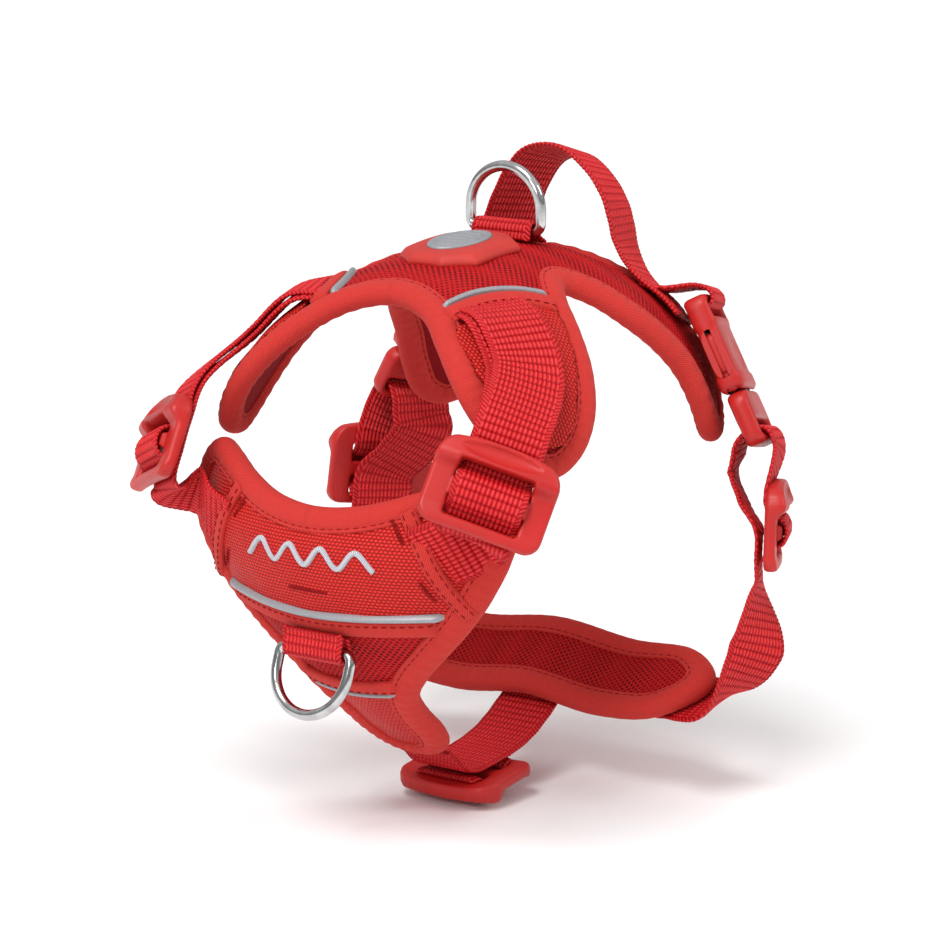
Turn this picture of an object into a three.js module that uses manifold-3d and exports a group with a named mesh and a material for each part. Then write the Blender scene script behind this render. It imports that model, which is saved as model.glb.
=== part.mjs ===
// A padded dog harness for a small dog, standing open as if a dog wore it.
// +X points to the dog's head, +Y to its left, +Z up, and the origin is in the middle of the torso space.
// All lengths are in millimetres and all angles in degrees.
import * as THREE from "three";
import { mergeVertices } from "three/addons/utils/BufferGeometryUtils.js";
import { TessellateModifier } from "three/addons/modifiers/TessellateModifier.js";
import Module from "manifold-3d";

const wasm = await Module();
wasm.setup();

// ---- driving dimensions ----
const WEBBING_WIDTH = 25;
const WEBBING_THICKNESS = 1.3;
const GAP = 0.4;
const LAYER_PITCH = 2 * GAP + WEBBING_THICKNESS;

// The back: a half barrel that narrows to the rear.
const BACK_HALF_WIDTH = 78;
const BACK_TAPER = 0.0037;
const BACK_TOP = 78;
const BACK_TOP_STATION = -8;
const BACK_DROOP = 300;
const BACK_BASE_HEIGHT = 5;

// The padded panels: an outer cloth with foam, a lining, and a bound edge.
const OUTER_THICKNESS = 2.6;
const LINING_THICKNESS = 2.4;
const PAD_DEPTH = OUTER_THICKNESS + GAP + LINING_THICKNESS;
const BINDING_WIDTH = 8;
const BINDING_PROUD = 0.4;
const SHEET_STEP = 18;

// The chest: its profile in the middle plane as [x, z] from the neck edge down to the belly.
const CHEST_PROFILE = [[84, 14], [88, 3], [92, -12], [89, -30], [80, -47], [67, -65], [48, -82], [26, -99]];
const CHEST_ROUND_TOP = 194;
const CHEST_ROUND_LOW = 95;
const CHEST_ROUND_FROM = 20;
const CHEST_ROUND_TO = 80;

// The D-rings.
const WIRE_RADIUS = 1.9;
const RING_HALF_WIDTH = 15;
const RING_LEG = 7;
const RING_CORNER = 3;
const RING_SIDES = 12;
const TOP_RING_STATION = -22;
const CHEST_RING_DOWN = 62;
const CHEST_RING_TILT = 20;

// The strap sliders.
const SLIDER_LENGTH = 42;
const SLIDER_WIDTH = 26;
const SLIDER_THICKNESS = 3;
const SLOT_LENGTH = 27.5;
const SLOT_WIDTH = 6.5;
const SLOT_OFFSET = 6;

// The side-release buckles.
const BUCKLE_STATION = -66;
const BUCKLE_ANGLE = 63;
const BUCKLE_PROUD = 8;
const BUCKLE_WIDTH = 33;
const BUCKLE_DEPTH = 10;
const SOCKET_LENGTH = 36;
const PLUG_LENGTH = 20;
const CAVITY_WIDTH = 34;
const CAVITY_DEPTH = 7;
const CAVITY_LENGTH = 25;
const BUCKLE_SLOT = 5;
const BUCKLE_BAR = 3.4;
const PRONG_WIDTH = 4.6;
const PRONG_DEPTH = 4.2;
const PRONG_REACH = 20;
const PRONG_OUT = 12.6;

// ---- colours and finishes ----
const finish = (color, roughness, metalness = 0) => ({ color, roughness, metalness });
const WEBBING = finish(0xc4161c, 0.75);
const BINDING = finish(0xd8433f, 0.85);
const AIR_MESH = finish(0xb8141a, 0.9);
const OXFORD = finish(0xcf2a24, 0.8);
const LINING = finish(0x8e0f14, 0.9);
const RUBBER = finish(0xc63a30, 0.5);
const REFLECTIVE = finish(0x9a9ca0, 0.35);
const PLASTIC = finish(0xc2201f, 0.4);
const STEEL = finish(0xc8c8c8, 0.2, 1);

const harness = new THREE.Group();
const radians = THREE.MathUtils.degToRad;
const vector = (x, y, z) => new THREE.Vector3(x, y, z);

// ---- making and placing ----
function add(name, geometry, look, matrix) {
  const mesh = new THREE.Mesh(geometry, new THREE.MeshStandardMaterial(look));
  mesh.name = name;
  if (matrix) mesh.applyMatrix4(matrix);
  harness.add(mesh);
  return mesh;
}

// Turns a closed geometry over the middle plane, with its faces still pointing out.
function mirrored(geometry) {
  const copy = geometry.clone().scale(1, -1, 1);
  const faces = copy.index.array;
  for (let i = 0; i < faces.length; i += 3) {
    [faces[i + 1], faces[i + 2]] = [faces[i + 2], faces[i + 1]];
  }
  return copy;
}

function addPair(name, geometry, look, matrix) {
  const placed = indexed(geometry);
  if (matrix) placed.applyMatrix4(matrix);
  add("left_" + name, placed, look);
  add("right_" + name, mirrored(placed), look);
}

function indexed(geometry) {
  const bare = geometry.clone();
  bare.deleteAttribute("normal");
  bare.deleteAttribute("uv");
  return mergeVertices(bare, 1e-4);
}

function solid(geometry) {
  const merged = indexed(geometry);
  return new wasm.Manifold(
    new wasm.Mesh({
      numProp: 3,
      vertProperties: new Float32Array(merged.attributes.position.array),
      triVerts: new Uint32Array(merged.index.array),
    }),
  );
}

function geometryOf(manifold) {
  const mesh = manifold.getMesh();
  return new THREE.BufferGeometry()
    .setAttribute("position", new THREE.BufferAttribute(new Float32Array(mesh.vertProperties), 3))
    .setIndex(new THREE.BufferAttribute(new Uint32Array(mesh.triVerts), 1));
}

const box = (w, l, d, x = 0, y = 0, z = 0) => solid(new THREE.BoxGeometry(w, l, d).translate(x, y, z));

// ---- surfaces: each takes two flat coordinates and a height above the outer face ----
function lifted(place) {
  const step = 0.05;
  return (p, q, height) => {
    const alongP = place(p + step, q).sub(place(p - step, q));
    const alongQ = place(p, q + step).sub(place(p, q - step));
    return place(p, q).addScaledVector(alongP.cross(alongQ).normalize(), height);
  };
}

const backHalfWidth = (x) => BACK_HALF_WIDTH - BACK_TAPER * x * x;
const backTop = (x) => BACK_TOP - (x - BACK_TOP_STATION) ** 2 / BACK_DROOP;
const BACK_RADIUS = 66; // turns an angle round the back into a length along the cloth
const ARC = radians(BACK_RADIUS);
const back = lifted((x, arc) => {
  const angle = arc / BACK_RADIUS;
  const rise = backTop(x) - BACK_BASE_HEIGHT;
  return vector(x, backHalfWidth(x) * Math.sin(angle), BACK_BASE_HEIGHT + rise * Math.cos(angle));
});
const onBack = (points) => points.map(([x, angle]) => [x, angle * ARC]);

const chestLine = new THREE.CatmullRomCurve3(CHEST_PROFILE.map(([x, z]) => vector(x, 0, z)));
const chestLength = chestLine.getLength();
const chest = lifted((down, across) => {
  const share = down / chestLength;
  const tangent = chestLine.getTangentAt(THREE.MathUtils.clamp(share, 0, 1));
  const beyond = down - chestLength * THREE.MathUtils.clamp(share, 0, 1);
  const round = THREE.MathUtils.mapLinear(
    THREE.MathUtils.clamp(down, CHEST_ROUND_FROM, CHEST_ROUND_TO),
    CHEST_ROUND_FROM, CHEST_ROUND_TO, CHEST_ROUND_TOP, CHEST_ROUND_LOW,
  );
  const middle = chestLine.getPointAt(THREE.MathUtils.clamp(share, 0, 1)).addScaledVector(tangent, beyond);
  return vector(middle.x - (across * across) / round, across, middle.z);
});

// The belly band: across runs to the dog's left, over runs from its front edge to its rear edge.
const BELLY_WIDTH = 36;
const BELLY_HALF_LENGTH = 70;
const BELLY_CORNER = 12;
const BELLY_SPAN = 144; // the width between the ends of the lines that the band lies on
const bellyFront = new THREE.CatmullRomCurve3([
  vector(-36, -72, -84), vector(-33, -33, -91), vector(-33, 0, -88), vector(-33, 33, -91), vector(-36, 72, -84),
]);
const bellyRear = new THREE.CatmullRomCurve3([
  vector(-62, -72, -71), vector(-61, -33, -71), vector(-60, 0, -67), vector(-61, 33, -71), vector(-62, 72, -71),
]);
const belly = lifted((across, over) => {
  const share = THREE.MathUtils.clamp(0.5 + across / BELLY_SPAN, 0, 1);
  return bellyFront.getPoint(share).lerp(bellyRear.getPoint(share), over / BELLY_WIDTH);
});

// ---- outlines ----
function smooth(points, steps) {
  const curve = new THREE.CatmullRomCurve3(points.map(([p, q]) => vector(p, q, 0)), true);
  return curve.getSpacedPoints(steps).slice(0, steps).map((v) => [v.x, v.y]);
}

const bothSides = (half) => [...half, ...half.filter(([, q]) => q > 0).reverse().map(([p, q]) => [p, -q])];
const twistOf = (outline) => Math.sign(THREE.ShapeUtils.area(outline.map(([p, q]) => new THREE.Vector2(p, q))));

function inset(outline, distance) {
  const turn = twistOf(outline);
  return outline.map(([p, q], i) => {
    const before = outline[(i + outline.length - 1) % outline.length];
    const after = outline[(i + 1) % outline.length];
    const length = Math.hypot(after[0] - before[0], after[1] - before[1]);
    const side = (turn * distance) / length;
    return [p - (after[1] - before[1]) * side, q + (after[0] - before[0]) * side];
  });
}

// The two sides of a strip of even width along an open line of flat points.
function stripSides(points, width, steps = 12) {
  const curve = new THREE.CatmullRomCurve3(points.map(([p, q]) => vector(p, q, 0)));
  const sides = [[], []];
  for (let i = 0; i <= steps; i++) {
    const at = curve.getPointAt(i / steps);
    const along = curve.getTangentAt(i / steps);
    sides[0].push([at.x - (along.y * width) / 2, at.y + (along.x * width) / 2]);
    sides[1].push([at.x + (along.y * width) / 2, at.y - (along.x * width) / 2]);
  }
  return sides;
}

// A closed band between two lines of flat points laid on a surface, joined to itself if it is a ring.
function band([left, right], surface, low, high, ring = false) {
  const places = [];
  left.forEach(([p, q], i) => {
    const [r, s] = right[i];
    places.push(...surface(p, q, low), ...surface(r, s, low), ...surface(r, s, high), ...surface(p, q, high));
  });
  const faces = ring ? [] : capFaces(left.length - 1);
  const spans = ring ? left.length : left.length - 1;
  for (let i = 0; i < spans; i++) joinSections(faces, 4 * i, 4 * ((i + 1) % left.length));
  return closed(places, faces);
}

const capFaces = (last) => [0, 1, 2, 0, 2, 3, 4 * last, 4 * last + 2, 4 * last + 1, 4 * last, 4 * last + 3, 4 * last + 2];

// The four walls between two sections of four corners each.
function joinSections(faces, here, next) {
  for (let k = 0; k < 4; k++) {
    const turn = (k + 1) % 4;
    faces.push(here + k, next + k, next + turn, here + k, next + turn, here + turn);
  }
}

function closed(places, faces) {
  const geometry = new THREE.BufferGeometry()
    .setAttribute("position", new THREE.Float32BufferAttribute(places, 3))
    .setIndex(faces);
  return facingOut(geometry);
}

// A closed sheet: the flat outline laid on a surface, between two heights.
function sheet(outline, surface, low, high) {
  const shape = new THREE.Shape(outline.map(([p, q]) => new THREE.Vector2(p, q)));
  const tiles = new TessellateModifier(SHEET_STEP, 8).modify(new THREE.ShapeGeometry(shape));
  const flat = indexed(tiles);
  const points = flat.attributes.position;
  const count = points.count;
  const places = [];
  for (const height of [high, low]) {
    for (let i = 0; i < count; i++) places.push(...surface(points.getX(i), points.getY(i), height));
  }
  const faces = [];
  const edges = new Map();
  for (let i = 0; i < flat.index.count; i += 3) {
    const corners = [0, 1, 2].map((k) => flat.index.getX(i + k));
    if (new Set(corners).size < 3) continue;
    faces.push(corners[0], corners[1], corners[2]);
    faces.push(corners[0] + count, corners[2] + count, corners[1] + count);
    corners.forEach((from, k) => edges.set(from + "," + corners[(k + 1) % 3], [from, corners[(k + 1) % 3]]));
  }
  for (const [from, to] of edges.values()) {
    if (edges.has(to + "," + from)) continue;
    faces.push(from, from + count, to + count, from, to + count, to);
  }
  return closed(places, faces);
}

// ---- webbing: a flat strap along a curve, with the direction across it given at each point ----
function webbing(points, across, { width = WEBBING_WIDTH, thickness = WEBBING_THICKNESS, steps = 18 } = {}) {
  const curve = new THREE.CatmullRomCurve3(points);
  const turning = new THREE.CatmullRomCurve3(across);
  const places = [];
  for (let i = 0; i <= steps; i++) {
    const at = curve.getPoint(i / steps);
    const along = curve.getTangent(i / steps);
    const side = turning.getPoint(i / steps);
    side.addScaledVector(along, -side.dot(along)).normalize();
    const up = side.clone().cross(along).normalize();
    for (const [a, b] of [[-1, -1], [1, -1], [1, 1], [-1, 1]]) {
      const corner = at.clone().addScaledVector(side, (a * width) / 2).addScaledVector(up, (b * thickness) / 2);
      places.push(...corner);
    }
  }
  const faces = capFaces(steps);
  for (let i = 0; i < steps; i++) joinSections(faces, 4 * i, 4 * (i + 1));
  return closed(places, faces);
}

// Turns every face over if the closed geometry is inside out.
function facingOut(geometry) {
  if (solid(geometry).volume() < 0) {
    const faces = geometry.index.array;
    for (let i = 0; i < faces.length; i += 3) [faces[i + 1], faces[i + 2]] = [faces[i + 2], faces[i + 1]];
  }
  return geometry;
}

// A frame whose X lies across the strap, Y along it and Z outward.
function frame(origin, along, across) {
  const y = along.clone().normalize();
  const x = across.clone().addScaledVector(y, -across.dot(y)).normalize();
  const z = x.clone().cross(y);
  return new THREE.Matrix4().makeBasis(x, y, z).setPosition(origin);
}
const inFrame = (matrix, points) => points.map(([x, y, z]) => vector(x, y, z).applyMatrix4(matrix));
const acrossOf = (matrix) => new THREE.Vector3().setFromMatrixColumn(matrix, 0);

// ---- back pad ----
const BACK_HALF_OUTLINE = [
  [46, 0], [50, 14], [58, 26], [64, 38], [67, 52], [65, 67], [58, 79], [46, 83], [35, 79], [25, 70], [17, 58],
  [10, 45], [3, 35], [-5, 30], [-13, 35], [-22, 45], [-32, 54], [-42, 64], [-49, 75], [-56, 85], [-66, 89],
  [-77, 85], [-82, 72], [-80, 57], [-74, 41], [-66, 25], [-58, 11], [-54, 0],
];
const backOutline = smooth(onBack(bothSides(BACK_HALF_OUTLINE)), 104);

function backPad() {
  const cloth = inset(backOutline, BINDING_WIDTH + GAP);
  add("back_pad", sheet(cloth, back, -OUTER_THICKNESS, 0), AIR_MESH);
  add("back_lining", sheet(cloth, back, -PAD_DEPTH, -OUTER_THICKNESS - GAP), LINING);
  const edges = [backOutline, inset(backOutline, BINDING_WIDTH)];
  add("back_binding", band(edges, back, -PAD_DEPTH - BINDING_PROUD, BINDING_PROUD, true), BINDING);
}

function shoulderTrim() {
  const panel = [[46, 30], [51, 41], [54, 54], [50, 65], [44, 69], [36, 66], [29, 57], [24, 47], [21, 39], [34, 31]];
  addPair("shoulder_panel", sheet(smooth(onBack(panel), 32), back, GAP, GAP + 1), OXFORD);
  const arc = onBack([[46, 21], [32, 22], [20, 27], [13, 33]]);
  addPair("shoulder_piping", band(stripSides(arc, 2), back, GAP, 2), REFLECTIVE);
  const below = onBack([[47, 25], [33, 26], [22, 31], [16, 36]]);
  addPair("shoulder_strip", band(stripSides(below, 5), back, GAP + 1 + GAP, GAP + 2.4), BINDING);
}

// ---- badge: a moulded rubber patch with a raised plain emblem ----
const BADGE_FRONT = 25;
const BADGE_REAR = -16;
const BADGE_HALF_WIDTH = 14;
const EMBLEM_HALF_LENGTH = 14;
const EMBLEM_HALF_WIDTH = 7.5;
const BADGE_HEIGHT = 3.6;
const BADGE_CORNER = 8;

function badge() {
  const side = BADGE_HALF_WIDTH;
  const outline = [
    [BADGE_FRONT, side - BADGE_CORNER], [BADGE_FRONT - BADGE_CORNER, side], [BADGE_REAR + BADGE_CORNER, side],
    [BADGE_REAR, side - BADGE_CORNER], [BADGE_REAR, BADGE_CORNER - side], [BADGE_REAR + BADGE_CORNER, -side],
    [BADGE_FRONT - BADGE_CORNER, -side], [BADGE_FRONT, BADGE_CORNER - side],
  ].reverse();
  add("badge", sheet(outline, back, GAP, BADGE_HEIGHT), RUBBER);
  const middle = (BADGE_FRONT + BADGE_REAR) / 2;
  const emblem = [];
  for (let i = 0; i < 24; i++) {
    const turn = radians(i * 15);
    emblem.push([middle + EMBLEM_HALF_LENGTH * Math.cos(turn), EMBLEM_HALF_WIDTH * Math.sin(turn)]);
  }
  add("badge_emblem", sheet(emblem, back, BADGE_HEIGHT + GAP, BADGE_HEIGHT + 1.2), REFLECTIVE);
}

// ---- D-rings ----
// The ring in its own frame: its straight bar lies on X at the origin and its bow reaches along Y.
function ringGeometry() {
  const half = RING_HALF_WIDTH;
  const corner = RING_CORNER;
  const points = [];
  for (let i = 0; i <= 3; i++) points.push(vector(-half + corner + ((half - corner) * 2 * i) / 3, 0, 0));
  for (let i = 1; i < 3; i++) points.push(arcPoint(half - corner, corner, corner, -90 + i * 30));
  points.push(vector(half, corner, 0));
  for (let i = 0; i <= 12; i++) points.push(arcPoint(0, RING_LEG, half, i * 15));
  points.push(vector(-half, corner, 0));
  for (let i = 1; i < 3; i++) points.push(arcPoint(-half + corner, corner, corner, 180 + i * 30));
  return loopRod(points, WIRE_RADIUS);
}

function arcPoint(x, y, radius, degrees) {
  return vector(x + radius * Math.cos(radians(degrees)), y + radius * Math.sin(radians(degrees)), 0);
}

// A round rod round a closed flat loop in the XY plane.
function loopRod(points, radius) {
  const places = [];
  const faces = [];
  const count = points.length;
  points.forEach((at, i) => {
    const along = points[(i + 1) % count].clone().sub(points[(i + count - 1) % count]).normalize();
    const outward = vector(along.y, -along.x, 0);
    for (let k = 0; k < RING_SIDES; k++) {
      const turn = (2 * Math.PI * (k + 0.5)) / RING_SIDES;
      const corner = at.clone().addScaledVector(outward, radius * Math.cos(turn));
      places.push(corner.x, corner.y, radius * Math.sin(turn));
      const a = i * RING_SIDES + k;
      const b = i * RING_SIDES + ((k + 1) % RING_SIDES);
      const next = ((i + 1) % count) * RING_SIDES;
      const c = next + k;
      const d = next + ((k + 1) % RING_SIDES);
      faces.push(a, c, d, a, d, b);
    }
  });
  return closed(places, faces);
}

// The tab in the ring's frame: a strap that comes up in front, turns round the bar and lies down behind it.
function ringTab(matrix, drop) {
  const turn = WIRE_RADIUS + GAP + WEBBING_THICKNESS / 2 + 0.1;
  const line = [
    [0, -drop, turn + 0.4], [0, -1.5, turn], [0, turn * 0.7, turn * 0.7], [0, turn, 0],
    [0, turn * 0.7, -turn * 0.7], [0, -1.5, -turn], [0, -drop + 0.4, -turn - 1.2], [0, -drop, -turn - 7],
  ];
  const across = line.map(() => acrossOf(matrix));
  return webbing(inFrame(matrix, line), across, { steps: 20 });
}

const TOP_BAR_HEIGHT = 4.6;
const topBar = back(TOP_RING_STATION, 0, TOP_BAR_HEIGHT);
const topRingFrame = frame(topBar, vector(0, 0, 1), vector(0, 1, 0));

function topRing() {
  add("top_ring", ringGeometry(), STEEL, topRingFrame);
  add("top_ring_tab", ringTab(topRingFrame, TOP_BAR_HEIGHT - GAP - WEBBING_THICKNESS / 2 - 0.4), WEBBING);
}

// ---- handle: a strap arched across the rear of the back ----
const HANDLE_STATION = -60;
const HANDLE_SPLAY = 0.0084; // how much its face turns with each mm from the middle
const HANDLE_TIP = 0.28;
const HANDLE_ARCH = [[34.5, 62], [29.5, 67], [25.5, 74.5], [23.5, 82], [20.5, 90], [14, 98.5], [3, 105.5], [-9, 104],
  [-16, 97], [-22, 86], [-26, 76], [-29.5, 68], [-34.5, 62]];
const HANDLE_LIFT = 1.2;
const HANDLE_SEAT = [48, 41];

function handle() {
  const seat = (angle) => back(HANDLE_STATION, angle * ARC, GAP + BINDING_PROUD + WEBBING_THICKNESS / 2 + HANDLE_LIFT);
  const points = [
    ...HANDLE_SEAT.map(seat),
    ...HANDLE_ARCH.map(([y, z]) => vector(HANDLE_STATION, y, z)),
    ...HANDLE_SEAT.map((angle) => -angle).reverse().map(seat),
  ];
  const across = points.map((at) => vector(1, HANDLE_SPLAY * at.y, HANDLE_TIP));
  add("handle", webbing(points, across, { steps: 40 }), WEBBING);
}

// ---- sliders ----
function sliderGeometry() {
  const plate = new THREE.Shape();
  const half = SLIDER_LENGTH / 2;
  const side = SLIDER_WIDTH / 2;
  const corner = 6;
  plate.moveTo(-half + corner, -side);
  plate.lineTo(half - corner, -side);
  plate.absarc(half - corner, corner - side, corner, -Math.PI / 2, 0);
  plate.absarc(half - corner, side - corner, corner, 0, Math.PI / 2);
  plate.lineTo(-half + corner, side);
  plate.absarc(corner - half, side - corner, corner, Math.PI / 2, Math.PI);
  plate.absarc(corner - half, corner - side, corner, Math.PI, (3 * Math.PI) / 2);
  for (const place of [-SLOT_OFFSET, SLOT_OFFSET]) plate.holes.push(slotPath(place));
  const options = { depth: SLIDER_THICKNESS, bevelEnabled: false, curveSegments: 5 };
  return indexed(new THREE.ExtrudeGeometry(plate, options).translate(0, 0, -SLIDER_THICKNESS / 2));
}

function slotPath(place) {
  const slot = new THREE.Path();
  slot.moveTo(-SLOT_LENGTH / 2, place - SLOT_WIDTH / 2);
  slot.lineTo(-SLOT_LENGTH / 2, place + SLOT_WIDTH / 2);
  slot.lineTo(SLOT_LENGTH / 2, place + SLOT_WIDTH / 2);
  slot.lineTo(SLOT_LENGTH / 2, place - SLOT_WIDTH / 2);
  slot.closePath();
  return slot;
}

// The strap's end that turns over the slider's middle bar, in the slider's frame as [along, out].
const OVER_BAR = [[13, -2.7], [9.4, -2.6], [7.3, -1.2], [5.9, 0.6], [4, 2.3], [0, 2.7], [-4, 2.3], [-5.9, 0.6],
  [-7.3, -1.2], [-9.4, -2.6], [-10.5, -2.7]];
const UNDER_SLIDER = -4.6;
const wrapPoints = (matrix) => inFrame(matrix, OVER_BAR.map(([along, out]) => [0, -along, out]));

// ---- shoulder straps ----
const shoulderSlider = frame(vector(84, 69, 13), vector(0.5, -0.05, -0.85), vector(0.5, -0.8, 0.33));

function shoulderStraps() {
  const across = acrossOf(shoulderSlider);
  const onLobe = [[33, 40], [44, 52]].map(([x, angle]) => back(x, angle * ARC, 3.4 + WEBBING_THICKNESS / 2));
  const under = inFrame(shoulderSlider, [[0, -24, -5.5], [0, -12, UNDER_SLIDER], [0, 0, UNDER_SLIDER],
    [0, 13, UNDER_SLIDER - 1.4]]);
  const intoChest = [[24, 60], [34, 55]].map(([down, side]) => chest(down, side, 3.8));
  const points = [...onLobe, ...under, ...intoChest];
  const chestAcross = vector(0.35, -0.55, 0.75);
  const turning = [vector(0.62, -0.63, 0.4), vector(0.6, -0.66, 0.4), across, across, across, across,
    chestAcross, chestAcross];
  addPair("shoulder_strap", webbing(points, turning, { steps: 24 }), WEBBING);

  const lift = LAYER_PITCH + 0.2;
  const above = [onLobe[0], onLobe[1], under[0]].map((at) => at.clone());
  above[0].add(back(33, 40 * ARC, lift).sub(back(33, 40 * ARC, 0)));
  above[1].add(back(44, 52 * ARC, lift).sub(back(44, 52 * ARC, 0)));
  above[2] = inFrame(shoulderSlider, [[0, -24, -5.5 + lift]])[0];
  const wrap = wrapPoints(shoulderSlider);
  const returnTurning = [turning[0], turning[1], across, ...wrap.map(() => across)];
  addPair("shoulder_return", webbing([...above, ...wrap], returnTurning, { steps: 30 }), WEBBING);
  addPair("shoulder_slider", sliderGeometry(), PLASTIC, shoulderSlider);
}

// ---- chest pad ----
const CHEST_HALF_OUTLINE = [
  [12, 0], [10, 18], [5, 34], [0, 47], [-2, 57], [3, 65], [14, 69], [27, 67], [41, 60], [55, 50], [68, 39],
  [80, 29], [92, 22], [106, 19], [120, 18], [131, 14], [136, 7], [137, 0],
];
const chestOutline = smooth(bothSides(CHEST_HALF_OUTLINE), 80);

function chestPad() {
  const cloth = inset(chestOutline, BINDING_WIDTH + GAP);
  add("chest_pad", sheet(cloth, chest, -OUTER_THICKNESS, 0), OXFORD);
  add("chest_lining", sheet(cloth, chest, -PAD_DEPTH, -OUTER_THICKNESS - GAP), LINING);
  const edges = [chestOutline, inset(chestOutline, BINDING_WIDTH)];
  add("chest_binding", band(edges, chest, -PAD_DEPTH - BINDING_PROUD, BINDING_PROUD, true), BINDING);
}

const PIPING_DOWN = 50;
const SEAM_DOWN = 56;
const LOW_SEAM_DOWN = 84;

function chestTrim() {
  const level = (down, half, sag = 3) => [[down - sag, -half], [down, 0], [down - sag, half]];
  add("chest_piping", band(stripSides(level(PIPING_DOWN, 42), 2), chest, GAP, 2), REFLECTIVE);
  add("chest_strip", band(stripSides(level(PIPING_DOWN + 4.2, 39), 5), chest, GAP, 1.8), BINDING);
  add("chest_low_strip", band(stripSides(level(LOW_SEAM_DOWN, 14, 2), 4), chest, GAP, 1.8), BINDING);
  add("chest_low_piping", band(stripSides(level(LOW_SEAM_DOWN + 4, 13, 2), 2), chest, GAP, 2), REFLECTIVE);
  const wave = [];
  for (let i = 0; i <= 8; i++) wave.push([29 + 3 * Math.cos(Math.PI * i), -26 + i * 6.5]);
  add("chest_embroidery", band(stripSides(wave, 1.8, 48), chest, GAP, 1.2), REFLECTIVE);
}

const chestBar = chest(CHEST_RING_DOWN, 0, 5.4);
const chestHang = vector(Math.sin(radians(CHEST_RING_TILT)), 0, -Math.cos(radians(CHEST_RING_TILT)));
const chestRingFrame = frame(chestBar, chestHang, vector(0, 1, 0));

function chestRing() {
  add("chest_ring", ringGeometry(), STEEL, chestRingFrame);
  const turn = WIRE_RADIUS + GAP + WEBBING_THICKNESS / 2;
  const line = [
    ...[[SEAM_DOWN - 1, 3.6], [SEAM_DOWN + 1, 4.2]].map(([down, height]) => chest(down, 0, height)),
    ...inFrame(chestRingFrame, [[0, -0.5, -turn], [0, turn * 0.7, -turn * 0.7], [0, turn, 0],
      [0, turn * 0.7, turn * 0.7], [0, 0, turn]]),
    chest(CHEST_RING_DOWN - 3.4, 0, 1.4),
  ];
  add("chest_ring_tab", webbing(line, line.map(() => vector(0, 1, 0)), { steps: 26 }), WEBBING);
}

// ---- belly ----
function bellyBand() {
  const half = BELLY_HALF_LENGTH;
  const corner = BELLY_CORNER;
  const outline = smooth([
    [-half, corner], [-half, BELLY_WIDTH - corner], [-half + corner, BELLY_WIDTH], [-half / 2, BELLY_WIDTH],
    [0, BELLY_WIDTH], [half / 2, BELLY_WIDTH], [half - corner, BELLY_WIDTH], [half, BELLY_WIDTH - corner],
    [half, corner], [half - corner, 0], [half / 2, 0], [0, 0], [-half / 2, 0], [-half + corner, 0],
  ].reverse(), 72);
  const cloth = inset(outline, BINDING_WIDTH + GAP);
  const middle = PAD_DEPTH / 2;
  add("belly_pad", sheet(cloth, belly, GAP / 2, middle), AIR_MESH);
  add("belly_backing", sheet(cloth, belly, -middle, -GAP / 2), LINING);
  const edges = [outline, inset(outline, BINDING_WIDTH)];
  add("belly_binding", band(edges, belly, -middle - BINDING_PROUD, middle + BINDING_PROUD, true), BINDING);
}

const UNDER_BAND = -PAD_DEPTH / 2 - BINDING_PROUD - 2;
const bellySlider = frame(vector(1, 0, -110), vector(-1, 0, 0.12), vector(0, -1, 0));

function bellyStrap() {
  const outOf = [138.2, 144].map((down) => chest(down, 0, -PAD_DEPTH / 2));
  const under = inFrame(bellySlider, [[0, -10, UNDER_SLIDER], [0, 0, UNDER_SLIDER], [0, 14, UNDER_SLIDER]]);
  const below = [vector(-24, 0, -100), ...[6, 26].map((over) => belly(0, over, UNDER_BAND - 1.4))];
  const points = [...outOf, ...under, ...below];
  add("belly_strap", webbing(points, points.map(() => vector(0, 1, 0)), { steps: 22 }), WEBBING);
  const wrap = wrapPoints(bellySlider);
  add("belly_slider_webbing", webbing(wrap, wrap.map(() => vector(0, 1, 0)), { steps: 20 }), WEBBING);
  add("belly_slider", sliderGeometry(), PLASTIC, bellySlider);
}

// ---- buckles, in a frame with X across, Y towards the plug and Z outward ----
const buckleSeat = back(BUCKLE_STATION, BUCKLE_ANGLE * ARC, BUCKLE_PROUD);
const buckleAlong = back(BUCKLE_STATION, (BUCKLE_ANGLE + 8) * ARC, 0)
  .sub(back(BUCKLE_STATION, (BUCKLE_ANGLE - 12) * ARC, 0));
const buckleAcross = back(BUCKLE_STATION + 1, BUCKLE_ANGLE * ARC, 0)
  .sub(back(BUCKLE_STATION - 1, BUCKLE_ANGLE * ARC, 0));
const buckleFrame = frame(buckleSeat, buckleAlong, buckleAcross);
const MOUTH = 14;
const SOCKET_END = MOUTH - SOCKET_LENGTH;
const PLUG_START = MOUTH + 0.5;
const PLUG_END = PLUG_START + PLUG_LENGTH;

// A block with rounded corners seen from outside.
function block(width, start, end, depth, corner) {
  const shape = new THREE.Shape();
  const half = width / 2;
  shape.moveTo(-half + corner, start);
  shape.lineTo(half - corner, start);
  shape.absarc(half - corner, start + corner, corner, -Math.PI / 2, 0);
  shape.absarc(half - corner, end - corner, corner, 0, Math.PI / 2);
  shape.lineTo(-half + corner, end);
  shape.absarc(-half + corner, end - corner, corner, Math.PI / 2, Math.PI);
  shape.absarc(-half + corner, start + corner, corner, Math.PI, (3 * Math.PI) / 2);
  const options = { depth, bevelEnabled: false, curveSegments: 4 };
  return solid(new THREE.ExtrudeGeometry(shape, options).translate(0, 0, -depth / 2));
}

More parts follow.
